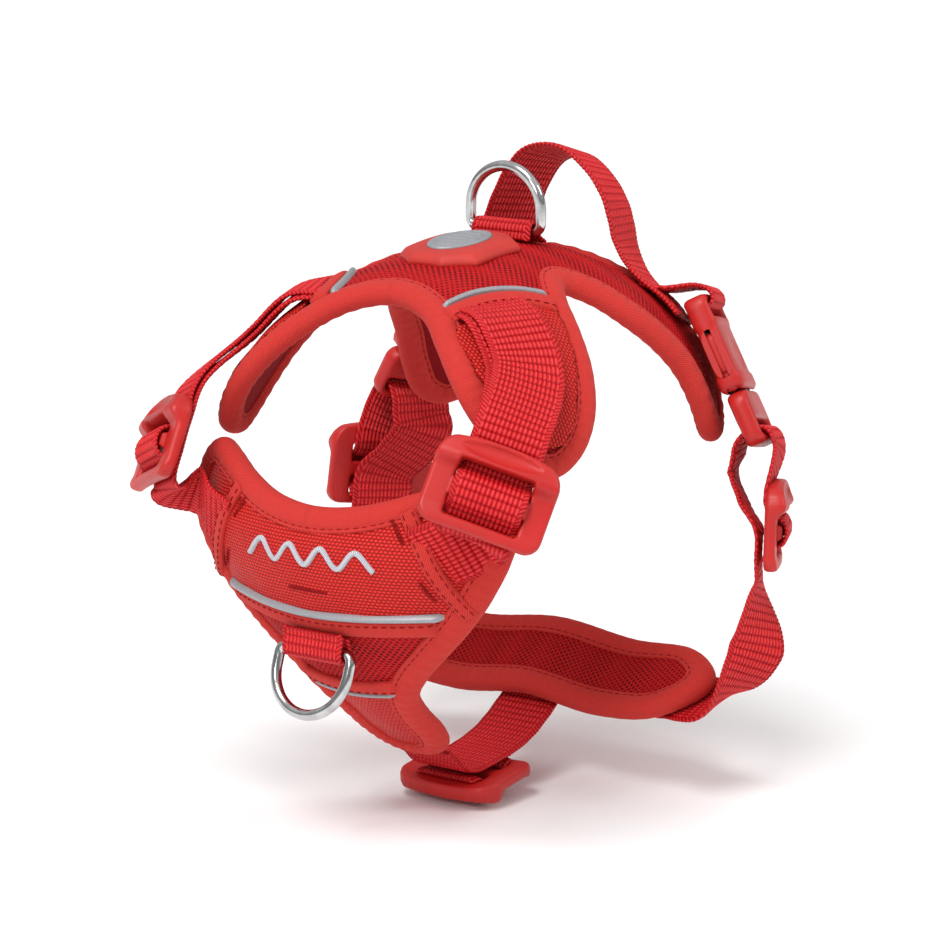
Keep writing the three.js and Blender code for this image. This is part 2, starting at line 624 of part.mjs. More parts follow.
function buckleSocket() {
  const cavityMiddle = MOUTH - CAVITY_LENGTH / 2;
  let socket = block(BUCKLE_WIDTH, SOCKET_END, MOUTH, BUCKLE_DEPTH, 4);
  socket = socket.subtract(box(CAVITY_WIDTH, CAVITY_LENGTH + 1, CAVITY_DEPTH, 0, cavityMiddle + 0.5, 0));
  const slotAt = SOCKET_END + BUCKLE_BAR + BUCKLE_SLOT / 2;
  socket = socket.subtract(box(WEBBING_WIDTH + 1.5, BUCKLE_SLOT, BUCKLE_DEPTH + 2, 0, slotAt, 0));
  addPair("buckle_socket", geometryOf(socket), PLASTIC, buckleFrame);
}

function bucklePlug() {
  let plug = block(BUCKLE_WIDTH, PLUG_START, PLUG_END, BUCKLE_DEPTH - 2, 4);
  const slotAt = PLUG_END - BUCKLE_BAR - BUCKLE_SLOT / 2;
  plug = plug.subtract(box(WEBBING_WIDTH + 1.5, BUCKLE_SLOT, BUCKLE_DEPTH + 2, 0, slotAt, 0));
  plug = plug.add(box(7, 18, PRONG_DEPTH, 0, PLUG_START - 8, 0));
  addPair("buckle_plug", geometryOf(plug), PLASTIC, buckleFrame);
}


function prongs() {
  for (const [name, side] of [["front", 1], ["rear", -1]]) {
    const middle = PLUG_START - GAP - PRONG_REACH / 2;
    const prong = box(PRONG_WIDTH, PRONG_REACH, PRONG_DEPTH, side * PRONG_OUT, middle, 0);
    addPair("prong_" + name, geometryOf(prong), PLASTIC, buckleFrame);
  }
}

function socketTab() {
  const barAt = SOCKET_END + BUCKLE_BAR / 2;
  const turn = BUCKLE_DEPTH / 2 + GAP + WEBBING_THICKNESS / 2;
  const overBar = inFrame(buckleFrame, [
    [0, barAt + 3.6, 0], [0, barAt + 2.2, turn - 0.5], [0, barAt - 2, turn], [0, barAt - 5.5, turn - 4],
  ]);
  const lift = GAP * 2 + BINDING_PROUD + WEBBING_THICKNESS * 1.5 + GAP;
  const foot = [41, 36].map((angle) => back(BUCKLE_STATION + 4, angle * ARC, lift + HANDLE_LIFT + 0.8));
  const points = [...overBar, ...foot];
  addPair("buckle_tab", webbing(points, points.map(() => acrossOf(buckleFrame)), { steps: 18 }), WEBBING);
}

// ---- girth straps ----
const girthSlider = frame(vector(-63, 87, -22), vector(0.12, 0.05, -1), vector(0.88, 0.47, 0.1));

function girthStraps() {
  const barAt = PLUG_END - BUCKLE_BAR / 2;
  const depth = (BUCKLE_DEPTH - 2) / 2 + GAP + WEBBING_THICKNESS / 2;
  const halfLoop = [[0, -4.2, 1], [0, -3.3, depth - 0.8], [0, -0.6, depth + 0.5], [0, 4.5, depth - 0.4]];
  const loop = (out) => inFrame(buckleFrame, halfLoop.map(([x, y, z]) => [x, barAt + y, out * z]));
  const inner = loop(-1);
  const side = acrossOf(buckleFrame);
  const across = acrossOf(girthSlider);
  const under = inFrame(girthSlider, [[0, -14, UNDER_SLIDER - 1], [0, 0, UNDER_SLIDER], [0, 14, UNDER_SLIDER]]);
  const down = [vector(-57, 88, -46), vector(-52, 87, -64), vector(-47, 76, -82)];
  const seat = [56, 32].map((y) => belly(y, BELLY_WIDTH / 2, UNDER_BAND - 0.4));
  const points = [...inner, ...under, ...down, ...seat];
  const turning = [side, side, side, side, across, across, across, vector(0.9, 0.35, -0.35), vector(0.85, 0.2, -0.5),
    vector(0.85, 0.1, -0.5), vector(0.85, 0, -0.5), vector(0.85, 0, -0.5)];
  addPair("girth_strap", webbing(points, turning, { steps: 40 }), WEBBING);

  const outer = loop(1);
  const wrap = wrapPoints(girthSlider);
  const returnTurning = [...outer.map(() => side), ...wrap.map(() => across)];
  addPair("girth_return", webbing([...outer, ...wrap], returnTurning, { steps: 30 }), WEBBING);
  addPair("girth_slider", sliderGeometry(), PLASTIC, girthSlider);
}

backPad();
shoulderTrim();
badge();
topRing();
handle();
shoulderStraps();
chestPad();
chestTrim();
chestRing();
bellyBand();
bellyStrap();
buckleSocket();
bucklePlug();
prongs();
socketTab();
girthStraps();

export default harness;
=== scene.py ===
"""The looks of a padded dog harness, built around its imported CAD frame.

+X points to the dog's head, +Y to its left, +Z up. Lengths are in metres.
"""
import math

import bpy
import numpy as np
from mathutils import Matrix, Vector


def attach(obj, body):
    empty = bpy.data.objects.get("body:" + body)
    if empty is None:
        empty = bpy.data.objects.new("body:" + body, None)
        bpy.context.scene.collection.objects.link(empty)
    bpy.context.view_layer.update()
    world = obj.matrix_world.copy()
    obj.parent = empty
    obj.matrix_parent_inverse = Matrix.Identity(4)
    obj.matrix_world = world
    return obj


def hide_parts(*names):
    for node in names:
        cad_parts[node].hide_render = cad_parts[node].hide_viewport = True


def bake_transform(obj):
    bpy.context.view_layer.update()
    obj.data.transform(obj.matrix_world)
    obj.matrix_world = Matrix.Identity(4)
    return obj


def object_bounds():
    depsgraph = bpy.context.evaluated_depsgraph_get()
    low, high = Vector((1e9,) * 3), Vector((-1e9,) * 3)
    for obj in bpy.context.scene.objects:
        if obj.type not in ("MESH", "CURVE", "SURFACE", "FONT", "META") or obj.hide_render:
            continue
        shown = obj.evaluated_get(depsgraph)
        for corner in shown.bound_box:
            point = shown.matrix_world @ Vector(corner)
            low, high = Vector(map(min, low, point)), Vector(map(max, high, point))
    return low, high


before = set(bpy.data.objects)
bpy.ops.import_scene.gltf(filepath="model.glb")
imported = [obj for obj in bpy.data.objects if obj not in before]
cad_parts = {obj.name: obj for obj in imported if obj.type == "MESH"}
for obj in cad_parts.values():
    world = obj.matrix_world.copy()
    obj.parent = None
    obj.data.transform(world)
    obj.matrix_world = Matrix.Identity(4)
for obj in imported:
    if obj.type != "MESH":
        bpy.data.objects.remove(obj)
CAD_BOUNDS = [list(corner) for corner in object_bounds()]

MM = 0.001
# The harness is modelled on its left; what is in pairs is mirrored for the right.
SIDES = (("left", False), ("right", True))

# ---- the shapes of the dog's back, chest and belly, as the CAD lays the pads on them ----
BACK_HALF_WIDTH = 78 * MM
BACK_TAPER = 3.7
BACK_TOP = 78 * MM
BACK_TOP_STATION = -8 * MM
BACK_DROOP = 300 * MM
BACK_BASE = 5 * MM
BACK_RADIUS = 66 * MM
CHEST_PROFILE = [[84, 14], [88, 3], [92, -12], [89, -30], [80, -47], [67, -65], [48, -82], [26, -99]]
CHEST_ROUND = (194 * MM, 95 * MM)
CHEST_ROUND_SPAN = (20 * MM, 80 * MM)
BELLY_WIDTH = 36 * MM
BELLY_SPAN = 144 * MM
BELLY_FRONT = [[-36, -72, -84], [-33, -33, -91], [-33, 0, -88], [-33, 33, -91], [-36, 72, -84]]
BELLY_REAR = [[-62, -72, -71], [-61, -33, -71], [-60, 0, -67], [-61, 33, -71], [-62, 72, -71]]

WEBBING_WIDTH = 25 * MM
WEBBING_THICKNESS = 1.3 * MM
PAD_DEPTH = 5.4 * MM
GAP = 0.4 * MM
# One unit of the cloth coordinates that the weaves are drawn in.
CLOTH_UNIT = 10 * MM
STEPS_PER_SPAN = 24
OUTLINE_PITCH = 1.0 * MM


# ---- curves ----
def smooth_curve(points, per_span=STEPS_PER_SPAN, closed=False):
    """A centripetal Catmull-Rom line through the points, with the same number of steps in each span."""
    points = np.asarray(points, float)
    count = len(points)
    if closed:
        ring = np.concatenate([points[-1:], points, points[:2]])
    else:
        ring = np.concatenate([[2 * points[0] - points[1]], points, [2 * points[-1] - points[-2]]])
    spans = count if closed else count - 1
    s = np.linspace(0, 1, per_span, endpoint=False)[:, None]
    out = []
    for i in range(spans):
        p0, p1, p2, p3 = ring[i:i + 4]
        d0, d1, d2 = (max(np.linalg.norm(b - a), 1e-9) ** 0.5 for a, b in ((p0, p1), (p1, p2), (p2, p3)))
        t1 = ((p1 - p0) / d0 - (p2 - p0) / (d0 + d1) + (p2 - p1) / d1) * d1
        t2 = ((p2 - p1) / d1 - (p3 - p1) / (d1 + d2) + (p3 - p2) / d2) * d1
        out.append(p1 + t1 * s + (-3 * p1 + 3 * p2 - 2 * t1 - t2) * s ** 2
                   + (2 * p1 - 2 * p2 + t1 + t2) * s ** 3)
    line = np.concatenate(out)
    return line if closed else np.concatenate([line, points[-1:]])


def lengths_along(line):
    return np.concatenate([[0], np.cumsum(np.linalg.norm(np.diff(line, axis=0), axis=1))])


def at_lengths(line, wanted, columns=None):
    """The line's points at these distances along it; columns limits what is measured to the first ones."""
    run = lengths_along(line[:, :columns] if columns else line)
    return np.stack([np.interp(wanted, run, line[:, k]) for k in range(line.shape[1])], 1)


def evenly(line, pitch, closed=False, columns=None):
    if closed:
        line = np.concatenate([line, line[:1]])
    total = lengths_along(line[:, :columns] if columns else line)[-1]
    count = max(2, round(total / pitch))
    wanted = np.linspace(0, total, count, endpoint=False) if closed else np.linspace(0, total, count + 1)
    return at_lengths(line, wanted, columns)


def unit(v):
    v = np.asarray(v, float)
    return v / np.maximum(np.linalg.norm(v, axis=-1, keepdims=True), 1e-12)


def smoothstep(x):
    x = np.clip(x, 0, 1)
    return x * x * (3 - 2 * x)


# ---- surfaces: two flat coordinates and a height above the outer face ----
def lifted(place):
    step = 0.05 * MM

    def surface(p, q, height=0.0):
        p, q = np.asarray(p, float), np.asarray(q, float)
        along = place(p + step, q) - place(p - step, q)
        across = place(p, q + step) - place(p, q - step)
        return place(p, q) + unit(np.cross(along, across)) * np.asarray(height, float)[..., None]

    return surface


def back_place(x, arc):
    half = BACK_HALF_WIDTH - BACK_TAPER * x ** 2
    rise = BACK_TOP - (x - BACK_TOP_STATION) ** 2 / BACK_DROOP - BACK_BASE
    angle = arc / BACK_RADIUS
    return np.stack(np.broadcast_arrays(x, half * np.sin(angle), BACK_BASE + rise * np.cos(angle)), -1)


chest_line = evenly(smooth_curve(np.array([[x, 0, z] for x, z in CHEST_PROFILE]) * MM), 0.5 * MM)
chest_run = lengths_along(chest_line)


def chest_place(down, across):
    held = np.clip(down, 0, chest_run[-1])
    share = np.clip((down - CHEST_ROUND_SPAN[0]) / (CHEST_ROUND_SPAN[1] - CHEST_ROUND_SPAN[0]), 0, 1)
    bend = CHEST_ROUND[0] + (CHEST_ROUND[1] - CHEST_ROUND[0]) * share
    end = unit(chest_line[-1] - chest_line[-3])
    start = unit(chest_line[2] - chest_line[0])
    x = np.interp(held, chest_run, chest_line[:, 0])
    z = np.interp(held, chest_run, chest_line[:, 2])
    past = np.maximum(down - chest_run[-1], 0)
    before = np.minimum(down, 0)
    x = x + past * end[0] + before * start[0]
    z = z + past * end[2] + before * start[2]
    return np.stack(np.broadcast_arrays(x - across ** 2 / bend, across, z), -1)


belly_front = smooth_curve(np.array(BELLY_FRONT) * MM)
belly_rear = smooth_curve(np.array(BELLY_REAR) * MM)


def belly_place(across, over):
    share = np.clip(0.5 + across / BELLY_SPAN, 0, 1)
    place = np.linspace(0, 1, len(belly_front))
    front, rear = (np.stack([np.interp(share, place, line[:, k]) for k in range(3)], -1)
                   for line in (belly_front, belly_rear))
    return front + (rear - front) * (np.asarray(over) / BELLY_WIDTH)[..., None]


back = lifted(back_place)
chest = lifted(chest_place)
belly = lifted(belly_place)


def arc_of(degrees):
    return math.radians(degrees) * BACK_RADIUS


def laid(surface, at, height):
    """Points at a height above the surface, over flat points."""
    return surface(at[:, 0], at[:, 1], height)


def seat_on(surface, at, height):
    """Points at a height above the surface, and the way out of it at each."""
    seat = laid(surface, at, height)
    return seat, unit(seat - laid(surface, at, 0.0))


# ---- making objects ----
def add_object(name, data, place=(0, 0, 0), away=None):
    """Puts an object into the scene; away is the direction that its +Z axis points in."""
    made = bpy.data.objects.new(name, data)
    made.location = place
    if away is not None:
        made.rotation_euler = Vector(away).to_track_quat("Z", "Y").to_euler()
    bpy.context.scene.collection.objects.link(made)
    return made


def piece(name, places, faces, looks, body="root", replaces=(), flat=None, mirror=False):
    """A mesh object that moves with a body and stands in for CAD nodes.

    looks is one name in LOOKS or several, and flat is each vertex's place on its cloth.
    """
    if mirror:
        places, faces = mirror_y(places), turned(faces)
    mesh = bpy.data.meshes.new(name)
    mesh.from_pydata(np.asarray(places, float).tolist(), [], [list(map(int, f)) for f in faces])
    looks = [looks] if isinstance(looks, str) else looks
    for look in looks:
        mesh.materials.append(LOOKS[look][0])
    if flat is not None:
        layer = mesh.uv_layers.new(name="cloth")
        corners = np.empty(len(mesh.loops), np.int32)
        mesh.loops.foreach_get("vertex_index", corners)
        layer.data.foreach_set("uv", (flat[corners] / CLOTH_UNIT).astype(np.float32).ravel())
    mesh.validate()
    for polygon in mesh.polygons:
        polygon.use_smooth = True
    made = add_object(name, mesh)
    if body:
        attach(made, body)
    if replaces:
        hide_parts(*replaces)
    return made


def grid_faces(rows, columns, ring_rows=False, ring_columns=False):
    """Quads over a grid of vertices numbered row by row."""
    r = np.arange(rows if ring_rows else rows - 1)
    c = np.arange(columns if ring_columns else columns - 1)
    r, c = (a.ravel() for a in np.meshgrid(r, c, indexing="ij"))
    r2, c2 = (r + 1) % rows, (c + 1) % columns
    return np.stack([r * columns + c, r * columns + c2, r2 * columns + c2, r2 * columns + c], 1)


def shell_faces(cells, rim, count):
    """The cells as an upper face, again as a lower face count vertices on, and walls round the rim."""
    faces = [list(cell) for cell in cells] + [[v + count for v in cell[::-1]] for cell in cells]
    return faces + [[b, a, a + count, b + count] for a, b in rim]


def mirror_y(places):
    return np.asarray(places) * np.array([1, -1, 1])


def on_side(point, mirror):
    return tuple(mirror_y(point) if mirror else point)


def turned(faces):
    return [list(f)[::-1] for f in faces]


def strap_frame(origin, along, across):
    """X lies across the strap, Y along it and Z outward; columns of a 4 by 4 matrix."""
    y = unit(along)
    x = unit(np.asarray(across, float) - y * np.dot(across, y))
    made = np.eye(4)
    made[:3, 0], made[:3, 1], made[:3, 2], made[:3, 3] = x, y, np.cross(x, y), origin
    return made


def in_frame(matrix, points):
    return np.asarray(points, float) @ matrix[:3, :3].T + matrix[:3, 3]


def mm_in_frame(matrix, points):
    """The same for points in millimetres, as a list."""
    return list(in_frame(matrix, np.array(points) * MM))


# ---- outlines ----
def both_sides(half):
    return half + [[p, -q] for p, q in reversed(half) if q > 0]


BACK_HALF_OUTLINE = [
    [46, 0], [50, 14], [58, 26], [64, 38], [67, 52], [65, 67], [58, 79], [46, 83], [35, 79], [25, 70],
    [17, 58], [10, 45], [3, 35], [-5, 30], [-13, 35], [-22, 45], [-32, 54], [-42, 64], [-49, 75], [-56, 85],
    [-66, 89], [-77, 85], [-82, 72], [-80, 57], [-74, 41], [-66, 25], [-58, 11], [-54, 0],
]
CHEST_HALF_OUTLINE = [
    [12, 0], [10, 18], [5, 34], [0, 47], [-2, 57], [3, 65], [14, 69], [27, 67], [41, 60], [55, 50], [68, 39],
    [80, 29], [92, 22], [106, 19], [120, 18], [131, 14], [136, 7], [137, 0],
]
BELLY_HALF_LENGTH = 70
BELLY_CORNER = 12


def back_flat(points):
    return np.array([[x * MM, arc_of(angle)] for x, angle in points])


def closed_outline(points):
    line = evenly(smooth_curve(points, closed=True), OUTLINE_PITCH, closed=True)
    x, y = line[:, 0], line[:, 1]
    turn = np.sum(x * np.roll(y, -1) - np.roll(x, -1) * y)
    return line if turn > 0 else line[::-1]


def belly_outline():
    half, corner, width = BELLY_HALF_LENGTH, BELLY_CORNER, BELLY_WIDTH / MM
    points = [
        [-half, corner], [-half, width - corner], [-half + corner, width], [-half / 2, width], [0, width],
        [half / 2, width], [half - corner, width], [half, width - corner], [half, corner], [half - corner, 0],
        [half / 2, 0], [0, 0], [-half / 2, 0], [-half + corner, 0],
    ]
    return closed_outline(np.array(points) * MM)


def inward(outline):
    """Each point's unit step into the outline, which runs anticlockwise."""
    along = unit(np.roll(outline, -3, 0) - np.roll(outline, 3, 0))
    return np.stack([-along[:, 1], along[:, 0]], 1)


def room_inside(outline, wanted):
    """How far each point can move inward, up to wanted, before another stretch of the edge is nearer."""
    step = inward(outline)
    room = np.full(len(outline), wanted)
    for distance in np.arange(wanted, 1.5 * MM, -0.5 * MM):
        moved = outline + step * distance
        nearest = np.sqrt(((moved[:, None] - outline[None]) ** 2).sum(-1).min(1))
        room = np.where(nearest < distance * 0.93, np.minimum(room, distance - 0.5 * MM), room)
    for _ in range(6):
        room = (np.roll(room, 1) + room * 2 + np.roll(room, -1)) / 4
    return room


def is_inside(outline, points):
    inside = np.zeros(len(points), bool)
    x, y = points[:, 0], points[:, 1]
    for (ax, ay), (bx, by) in zip(outline, np.roll(outline, -1, 0)):
        crosses = (ay > y) != (by > y)
        if by != ay:
            inside ^= crosses & (x < (bx - ax) * (y - ay) / (by - ay) + ax)
    return inside


def distance_to(outline, points, block=4000):
    out = np.empty(len(points))
    for i in range(0, len(points), block):
        out[i:i + block] = np.sqrt(((points[i:i + block, None] - outline[None]) ** 2).sum(-1).min(1))
    return out


# ---- weaves: how high the cloth stands at a point of the flat pattern, 0 to 1 ----
MESH_ROW = 1.25 * MM
MESH_HOLE = 2.1 * MM


def mesh_relief(p, q):
    """Knitted air mesh: rows of long narrow holes, every second row shifted by half a hole."""
    row = np.floor(p / MESH_ROW)
    a = p / MESH_ROW - row - 0.5
    b = (q / MESH_HOLE + 0.5 * (row % 2)) % 1 - 0.5
    return smoothstep((np.hypot(a, b * 1.25) - 0.16) / 0.26)


WEB_RIB = 1.55 * MM
WEB_ROW = 2.8 * MM
SELVEDGE = 1.9 * MM
CHEVRON_PITCH = 1.5 * MM


def webbing_relief(along, across):
    """Ribbed nylon: rows of raised leaf-shaped floats side by side."""
    b = 2 * ((across / WEB_RIB) % 1) - 1
    a = 2 * ((along / WEB_ROW) % 1) - 1
    return np.clip(1.1 - b ** 2 - a ** 4, 0, 1) ** 0.6


# ---- mouldings: rounded bodies that stand on a flat outline ----
def grid_inside(outline, holes, pitch, inset=0.0):
    """The points and square cells inside the outline, and the edges around them that only one cell has."""
    low, high = outline.min(0) - pitch, outline.max(0) + pitch
    size = np.ceil((high - low) / pitch).astype(int)
    p, q = np.meshgrid(low[0] + np.arange(size[0] + 1) * pitch, low[1] + np.arange(size[1] + 1) * pitch,
                       indexing="ij")
    cells = grid_faces(size[0] + 1, size[1] + 1)
    points = np.stack([p.ravel(), q.ravel()], 1)
    middle = points[cells].mean(1)
    near = is_inside(outline, middle)
    for hole in holes:
        near &= ~is_inside(hole, middle)
    if inset:
        near[near] = distance_to(outline, middle[near]) > inset
    cells = cells[near]
    used, packed = np.unique(cells, return_inverse=True)
    cells = packed.reshape(cells.shape)
    sides = {(cell[k], cell[(k + 1) % 4]) for cell in cells.tolist() for k in range(4)}
    rim = [(a, b) for a, b in sides if (b, a) not in sides]
    return points[used], cells, rim


def height_of(height, x, y):
    return height(x, y) if callable(height) else np.full(len(x), height)


def moulding(name, outline, top, bottom, look, place, body="root", replaces=(), mirror=False, holes=(),
             corners=(1.2 * MM, 0.0), pitch=0.45 * MM, relaxed=True):
    """A body between two heights, its upper and lower rims rounded by corners.

    top and bottom are each a height or a function of flat x and y, and place maps (x, y, z) points.
    """
    points, cells, rim = grid_inside(outline, holes, pitch)
    borders = np.concatenate([outline, *holes])
    rims = np.unique(np.array(rim))
    for _ in range(2):
        gaps = ((points[rims][:, None] - borders[None]) ** 2).sum(-1)
        points[rims] = borders[gaps.argmin(1)]
    edge = distance_to(borders, points)
    edge[rims] = 0
    x, y = points.T

    def sink(corner):
        share = np.clip(edge / corner, 0, 1) if corner else np.ones(len(points))
        return corner * (1 - np.sqrt(1 - (1 - share) ** 2))

    upper = np.stack([x, y, height_of(top, x, y) - sink(corners[0])], 1)
    lower = np.stack([x, y, height_of(bottom, x, y) + sink(corners[1])], 1)
    places = place(np.concatenate([upper, lower]))
    made = piece(name, places, shell_faces(cells, rim, len(points)), look, body, replaces,
                 np.concatenate([points, points]), mirror)
    if relaxed:
        relax = made.modifiers.new("relax", "SMOOTH")
        relax.factor = 0.5
        relax.iterations = 3
    else:
        made.data.set_sharp_from_angle(angle=math.radians(50))
    return made


def on_frame(matrix):
    return lambda points: in_frame(matrix, points)


def on_surface(surface):
    return lambda points: laid(surface, points, points[:, 2])


def dense(points, pitch=0.2 * MM):
    return evenly(np.asarray(points, float), pitch, closed=True)


# ---- pads ----
WEAVE_DEPTH = 0.45 * MM
CROWN_STARTS = 9 * MM


def pad(name, outline, surface, thickness, crown, looks, replaces, zones=None, relief=None, pitch=0.65 * MM,
        inset=5 * MM, top=0.0):
    """A closed cushion between a face at top and one thickness below it. Its border lies inside the binding.

    zones gives the look of each face on top. The last look is that of the underside.
    """
    points, cells, rim = grid_inside(outline, [], pitch, inset)
    swell = crown * smoothstep((distance_to(outline, points) - CROWN_STARTS) / CROWN_STARTS)
    sunk = WEAVE_DEPTH * (1 - relief(*points.T)) if relief else 0.0
    upper = laid(surface, points, top + swell + 0.25 * MM * ripple(points) - sunk)
    lower = laid(surface, points, top - thickness - 0.6 * swell)
    made = piece(name, np.concatenate([upper, lower]), shell_faces(cells, rim, len(points)), looks,
                 replaces=replaces, flat=np.concatenate([points, points]))
    sections = np.full(len(made.data.polygons), len(looks) - 1, np.int32)
    sections[:len(cells)] = zones(*points[cells].mean(1).T) if zones else 0
    made.data.polygons.foreach_set("material_index", sections)
    return made


def ripple(points):
    """A slow unevenness of hand-sewn cloth, between -1 and 1."""
    p, q = points.T / MM
    return (np.sin(p * 0.31 + 1.3 * np.sin(q * 0.17)) + np.sin(q * 0.27 + 1.7 * np.sin(p * 0.13 + 1))) / 2


# The tape's section: distance in from the edge as a share of its width, and height over the outer face in mm.
BINDING_WIDTH = 9.2 * MM
BINDING_SECTION = [
    (1.0, -0.2), (0.985, 0.55), (0.95, 0.85), (0.9, 0.8), (0.85, 0.45), (0.8, 0.85), (0.7, 1.25), (0.58, 1.45),
    (0.45, 1.45), (0.32, 1.2), (0.2, 0.65), (0.1, -0.15), (0.03, -1.2), (0.0, -2.4), (0.0, -3.2),
    (0.03, -4.4), (0.1, -5.4), (0.2, -6.1), (0.32, -6.5), (0.45, -6.7), (0.58, -6.65), (0.7, -6.4),
    (0.8, -6.1), (0.85, -5.75), (0.9, -6.1), (0.95, -6.1), (0.985, -5.9), (1.0, -5.2),
]
BINDING_MIDDLE = -2.7
PUCKER = 0.16 * MM
STITCH_SHARE = 0.85
STITCH_HEIGHTS = (("", 0.55), ("_inner", -5.85))


def binding(name, outline, surface, replaces, shift=0.0):
    """Tape folded over the pad's edge, puckered where the edge turns inward."""
    room = room_inside(outline, BINDING_WIDTH)
    step = inward(outline)
    run = np.arange(len(outline)) * OUTLINE_PITCH
    size = np.clip(room / BINDING_WIDTH, 0.75, 1)
    pucker = PUCKER * np.sin(run / MM * 1.15 + 2 * np.sin(run / MM * 0.09))
    over = lengths_along(np.array(BINDING_SECTION) * (BINDING_WIDTH, MM))
    places, flat = [], []
    for (share, height), across in zip(BINDING_SECTION, over):
        at = outline + step * (room * share)[:, None]
        wave = pucker * math.sin(math.pi * share) * (1 if height > BINDING_MIDDLE else -1)
        places.append(laid(surface, at, shift + height * MM * size + wave))
        flat.append(np.stack([run, np.full(len(run), across)], 1))
    faces = turned(grid_faces(len(over), len(run), ring_rows=True, ring_columns=True))
    piece(name, np.concatenate(places), faces, "tape", replaces=replaces, flat=np.concatenate(flat))
    seam = outline + step * (room * STITCH_SHARE)[:, None]
    for suffix, height in STITCH_HEIGHTS:
        stitches(name + "_stitches" + suffix, *seat_on(surface, seam, shift + height * MM), closed=True)


# ---- stitches ----
STITCH_PITCH = 3.1 * MM
STITCH_LENGTH = 2.2 * MM
THREAD_RADIUS = 0.2 * MM
STITCH_SIDES = 6
# Rings along one stitch: place along it, size and lift, as shares of its length and of the thread's radius.
STITCH_RINGS = [(-0.5, 0.15, -0.9), (-0.38, 0.8, -0.3), (-0.15, 1, 0.25), (0.15, 1, 0.25), (0.38, 0.8, -0.3),
                (0.5, 0.15, -0.9)]


def stitches(name, line, up, closed=False, pitch=STITCH_PITCH, length=STITCH_LENGTH):
    """A run of short rounded thread lengths lying on a line, each dipping into the cloth at both ends."""
    data = np.concatenate([line, up], 1)
    if closed:
        data = np.concatenate([data, data[:1]])
    total = lengths_along(data[:, :3])[-1]
    count = max(1, int(total / pitch))
    starts = (np.arange(count) + 0.5) * total / count
    rings = []
    for share, size, lift in STITCH_RINGS:
        here, ahead, behind = (at_lengths(data, np.clip(starts + share * length + step, 0, total), 3)
                               for step in (0, THREAD_RADIUS, -THREAD_RADIUS))
        along = unit(ahead[:, :3] - behind[:, :3])
        out = unit(here[:, 3:])
        side = unit(np.cross(along, out))
        for k in range(STITCH_SIDES):
            turn = 2 * math.pi * k / STITCH_SIDES
            around = out * (lift + size * math.sin(turn)) + side * size * math.cos(turn)
            rings.append(here[:, :3] + around * THREAD_RADIUS)
    each = len(rings)
    one = [list(f) for f in grid_faces(len(STITCH_RINGS), STITCH_SIDES, ring_columns=True)]
    one += [list(range(STITCH_SIDES))[::-1], list(range(each - STITCH_SIDES, each))]
    faces = [[v + i * each for v in f] for i in range(count) for f in one]
    piece(name, np.stack(rings, 1).reshape(-1, 3), faces, "stitch")


# ---- webbing ----
WEBBING_PITCH = 0.5 * MM
WEBBING_COLUMNS = 81
SOFTENING = 10


def webbing(name, points, across, replaces, mirror=False, body="root"):
    """A flat strap along the points, with ribs woven on both faces and rounded selvedges.

    across is the direction across the strap: one for all of it, or one for each point.
    """
    if np.ndim(across) == 1:
        across = [across] * len(points)
    line = smooth_curve(points)
    spans = np.arange(len(line)) / STEPS_PER_SPAN
    sides = np.asarray(across, float)
    sides = np.stack([np.interp(spans, np.arange(len(sides)), sides[:, k]) for k in range(3)], 1)
    data = evenly(np.concatenate([line, sides], 1), WEBBING_PITCH, columns=3)
    for _ in range(SOFTENING):
        data[1:-1] = (data[:-2] + 2 * data[1:-1] + data[2:]) / 4
    data = evenly(data, WEBBING_PITCH, columns=3)
    centre, side = data[:, :3], data[:, 3:]
    along = unit(np.gradient(centre, axis=0))
    side = unit(side - along * (side * along).sum(1, keepdims=True))
    up = np.cross(side, along)
    run = lengths_along(centre)
    v = np.linspace(-1, 1, WEBBING_COLUMNS)
    edge = np.sqrt(np.clip(1 - np.clip((np.abs(v) - 0.93) / 0.07, 0, 1) ** 2, 0.06, 1))
    places, flat = [], []
    for face in (1, -1):
        a, b = np.meshgrid(run, face * v * WEBBING_WIDTH / 2, indexing="ij")
        weave = webbing_relief(a + (0 if face > 0 else WEB_ROW / 2), b)
        chevron = 0.5 + 0.5 * np.cos(2 * math.pi * (a / CHEVRON_PITCH + np.abs(b) / (2.2 * MM)))
        weave = np.where(np.abs(b) > WEBBING_WIDTH / 2 - SELVEDGE, chevron * 0.8, weave)
        height = face * edge * (WEBBING_THICKNESS / 2 - 0.22 * MM + weave * 0.5 * MM)
        spread = b * (1 + 0.006 * np.sin(a / MM * 0.7))
        places.append(centre[:, None] + side[:, None] * spread[..., None] + up[:, None] * height[..., None])
        flat.append(np.stack([a, b], -1))
    ring = 2 * WEBBING_COLUMNS
    faces = [list(f) for f in grid_faces(len(run), ring, ring_columns=True)]
    last = (len(run) - 1) * ring
    for k in range(WEBBING_COLUMNS - 1):
        far = ring - 1 - k
        faces.append([k, far, far - 1, k + 1])
        faces.append([last + k, last + k + 1, last + far - 1, last + far])
    return piece(name, np.concatenate(places, 1).reshape(-1, 3), faces, "webbing", body, replaces,
                 np.concatenate(flat, 1).reshape(-1, 2), mirror)


# ---- materials ----
def colour_ramp(tree, value, stops):
    """Colours by a value, from (place, colour) stops."""
    made = tree.nodes.new("ShaderNodeValToRGB")
    tree.links.new(value, made.inputs[0])
    ramp = made.color_ramp
    while len(ramp.elements) < len(stops):
        ramp.elements.new(0.5)
    for element, (place, colour) in zip(ramp.elements, stops):
        element.position = place
        element.color = (*colour, 1)
    return made.outputs[0]


